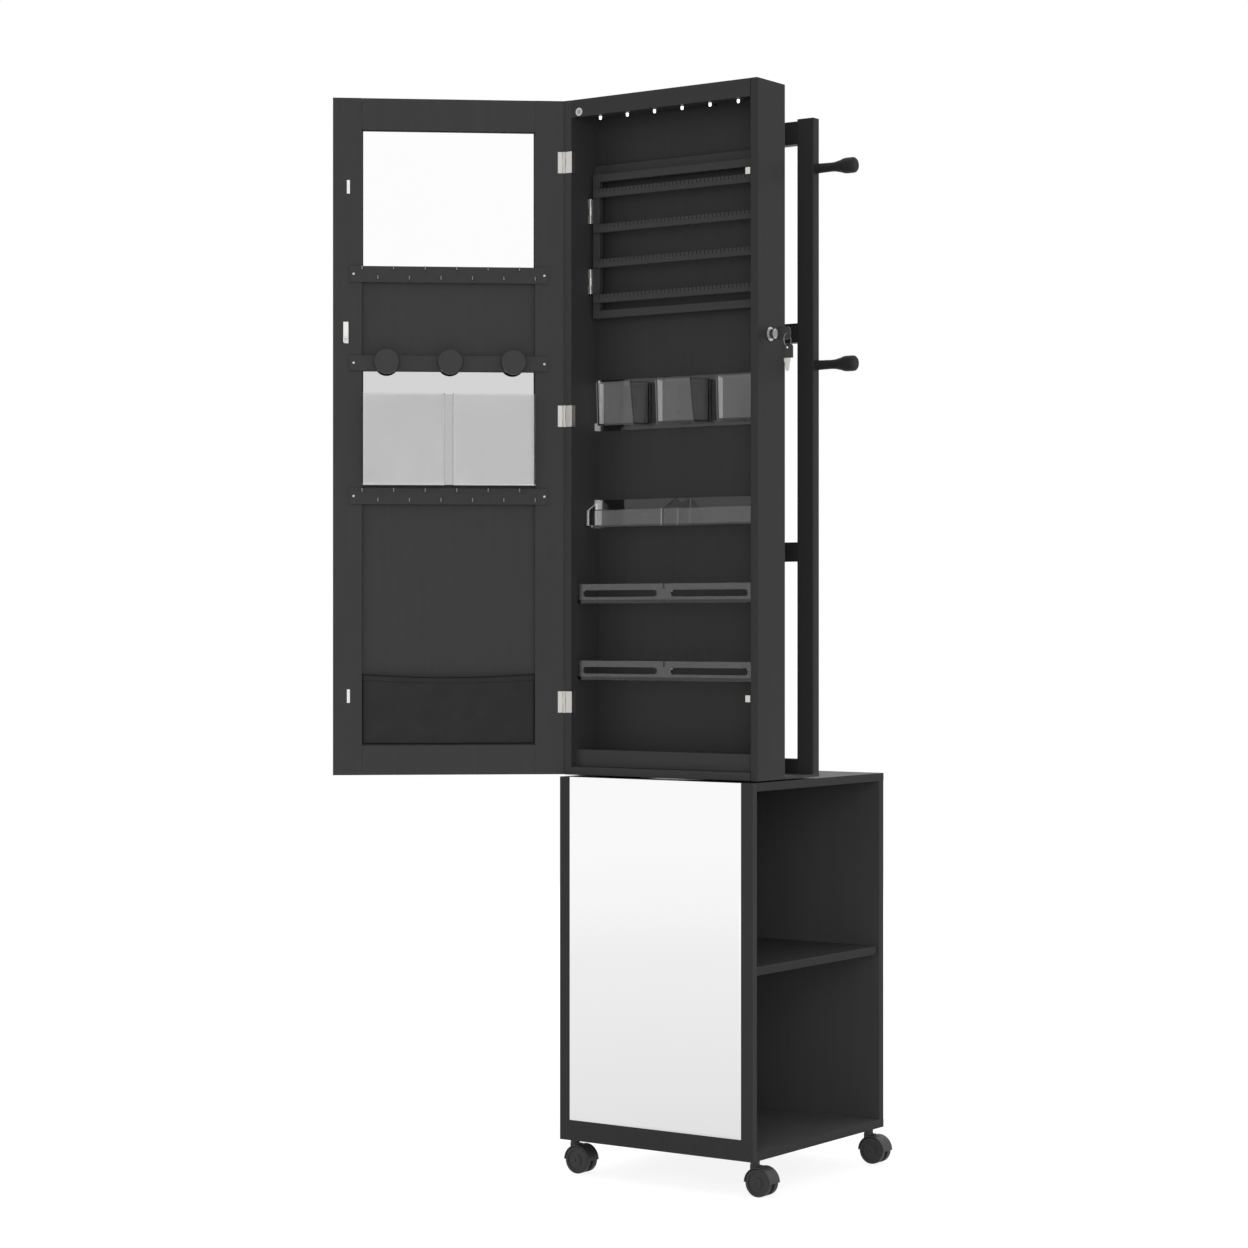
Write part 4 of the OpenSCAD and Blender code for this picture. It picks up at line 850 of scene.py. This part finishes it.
def makeMirrors(finishes):
    wide = {"bevel": 0.0028, "drop": 0.0011}
    narrow = {"bevel": 0.0016, "drop": 0.0006}
    low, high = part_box("base_front_mirror")
    pane = makePane("baseMirror", low, high, -1, **wide)
    dress(pane, finishes["baseMirror"])
    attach(pane, "base")
    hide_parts("base_front_mirror")
    # On the shut door: lowest and highest corner, the way the pane faces, its edge and finish
    onDoor = {
        "doorFaceMirror": [
            (-0.1677, -0.186, 0.5948), (0.1708, -0.184, 1.594), -1, wide, "mirror",
        ],
        "doorHighMirror": [
            (-0.1265, -0.181, 1.343), (0.1296, -0.179, 1.549), 1, narrow, "mirror",
        ],
        "doorLowMirror": [
            (-0.1265, -0.181, 1.022), (0.1296, -0.179, 1.196), 1, narrow, "lowMirror",
        ],
    }
    for name, (low, high, outward, edge, finish) in onDoor.items():
        pane = makePane(name, low, high, outward, **edge)
        backs = [face.index for face in pane.data.polygons if face.normal.y * outward < -0.9]
        settle(pane, doorTurn)
        dress(pane, finishes[finish])
        pane.data.materials.append(finishes["backing"])
        for index in backs:
            pane.data.polygons[index].material_index = 1
        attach(pane, "door")
        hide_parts("door_outer_mirror" if name == "doorFaceMirror" else "door_inner_mirrors")


def pocketPoint(u, v, out=0.0):
    # u runs across and v from the foot to the mouth; wrinkles run down from the corners
    span = math.sin(math.pi * max(0.0, min(1.0, u)))
    rise = math.sin(math.pi / 2 * min(1.0, v * pocket["rise"] + pocket["riseStart"]))
    swell = pocket["bulge"] * span ** pocket["sideCurve"] * rise ** pocket["footCurve"]
    swell *= pocket["full"]
    fold = 0.0
    for start, slope, depth, reach in pocketFolds:
        away = (u - start - slope * (1 - v)) / reach
        fold += depth * math.exp(-away * away)
    ripple = 0.0
    for across, down, layer, depth in pocketRipples:
        ripple += noise.noise(Vector((u * across, v * down, layer))) * depth
    loose = span ** 0.5 * (pocket["still"] + (1 - pocket["still"]) * v)
    depth = pocket["lift"] + swell + (fold * pocket["foldScale"] + ripple) * loose + out
    return Vector((
        pocket["mid"] + (u - 0.5) * pocket["width"],
        pocket["panel"] + max(depth, pocket["cloth"] + pocket["skin"] + out),
        pocket["foot"] + pocket["seamLift"] + v * (pocket["height"] - pocket["sag"] * span),
    ))


def makeClothGrid(name, rows, low, high, out):
    dropPick()
    bpy.ops.mesh.primitive_grid_add(x_subdivisions=pocket["columns"], y_subdivisions=rows, size=1)
    sheet = nameActive(name)
    for vertex in sheet.data.vertices:
        u = vertex.co.x + 0.5
        v = low + (vertex.co.y + 0.5) * (high - low)
        vertex.co = pocketPoint(u, v, out)
    # The weave and the seams are measured in metres along the cloth
    for corner in sheet.data.uv_layers.active.data:
        v = low + corner.uv.y * (high - low)
        corner.uv = (corner.uv.x * pocket["width"], v * pocket["height"])
    sheet.data.update()
    return sheet


def makePocket(finishes):
    sheet = makeClothGrid("pocketCloth", pocket["rows"], 0.0, 1.0, 0.0)
    applyModifier(sheet, "SOLIDIFY", thickness=pocket["cloth"], offset=-1)
    hem = makeClothGrid(
        "pocketHem", pocket["hemRows"], pocket["hemFrom"], pocket["hemTo"], pocket["hemOut"]
    )
    applyModifier(hem, "SOLIDIFY", thickness=pocket["cloth"] * pocket["hemThick"], offset=0)
    applyModifier(hem, "BEVEL", width=pocket["hemRound"], segments=2)
    for piece in (sheet, hem):
        pickOnly(piece)
        bpy.ops.object.shade_smooth_by_angle(angle=math.radians(pocket["smooth"]))
        settle(piece, doorTurn)
        dress(piece, finishes["cloth"])
        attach(piece, "door")
    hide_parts("door_pocket")


# Screws that hold the strips on the door
screwHead = {
    "radius": 0.0017, "rise": 0.0008, "sides": 24, "dish": 0.45, "crown": 0.35,
    "slot": 0.0005, "slotReach": 1.3, "slotDepth": 0.0004, "clear": 0.001,
}


def makeScrew(name, finish):
    radius, rise = screwHead["radius"], screwHead["rise"]
    dropPick()
    bpy.ops.mesh.primitive_cylinder_add(
        vertices=screwHead["sides"], radius=radius, depth=rise, location=(0, 0, rise / 2)
    )
    screw = nameActive(name)
    editFaces(screw, lambda face: face.normal.z > 0.9)
    bpy.ops.mesh.inset(thickness=radius * screwHead["dish"], depth=rise * screwHead["crown"])
    leaveEdit()
    settle(screw)
    # A cross slot in the crown
    top = rise * (1 + screwHead["crown"])
    low, high = top - screwHead["slotDepth"], top + screwHead["clear"]
    long, short = radius * screwHead["slotReach"] / 2, screwHead["slot"] / 2
    for x, y in ((short, long), (long, short)):
        cutter = startBlock("cutter", (-x, -y, low), (x, y, high))
        applyModifier(screw, "BOOLEAN", operation="DIFFERENCE", object=cutter, solver="EXACT")
        bpy.data.objects.remove(cutter)
    settle(screw, Matrix.Rotation(-math.pi / 2, 4, "X"))
    dress(screw, finish)
    return screw


def makeScrews(finishes):
    strips = {"upper": 1.335, "middle": 1.20335, "lower": 1.0062}
    sides = {"Left": -0.1405, "Right": 0.1423}
    face = -0.1698
    first = makeScrew("screwMaster", finishes["nickel"])
    for label, height in strips.items():
        for side, x in sides.items():
            screw = ownCopy(first, f"{label}StripScrew{side}")
            settle(screw, doorTurn @ Matrix.Translation((x, face, height)))
            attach(screw, "door")
    bpy.data.objects.remove(first)


scene.view_settings.view_transform = "Standard"
makeCamera()
makeWorld()
makeLamps()
makeFloor()
print("camera, world, lamps and floor ready")
finishes = makeFinishes()
dressNodes(finishes)
makeMirrors(finishes)
print("mirrors ready")
makePocket(finishes)
print("pocket ready")
makeScrews(finishes)
print("screws ready")
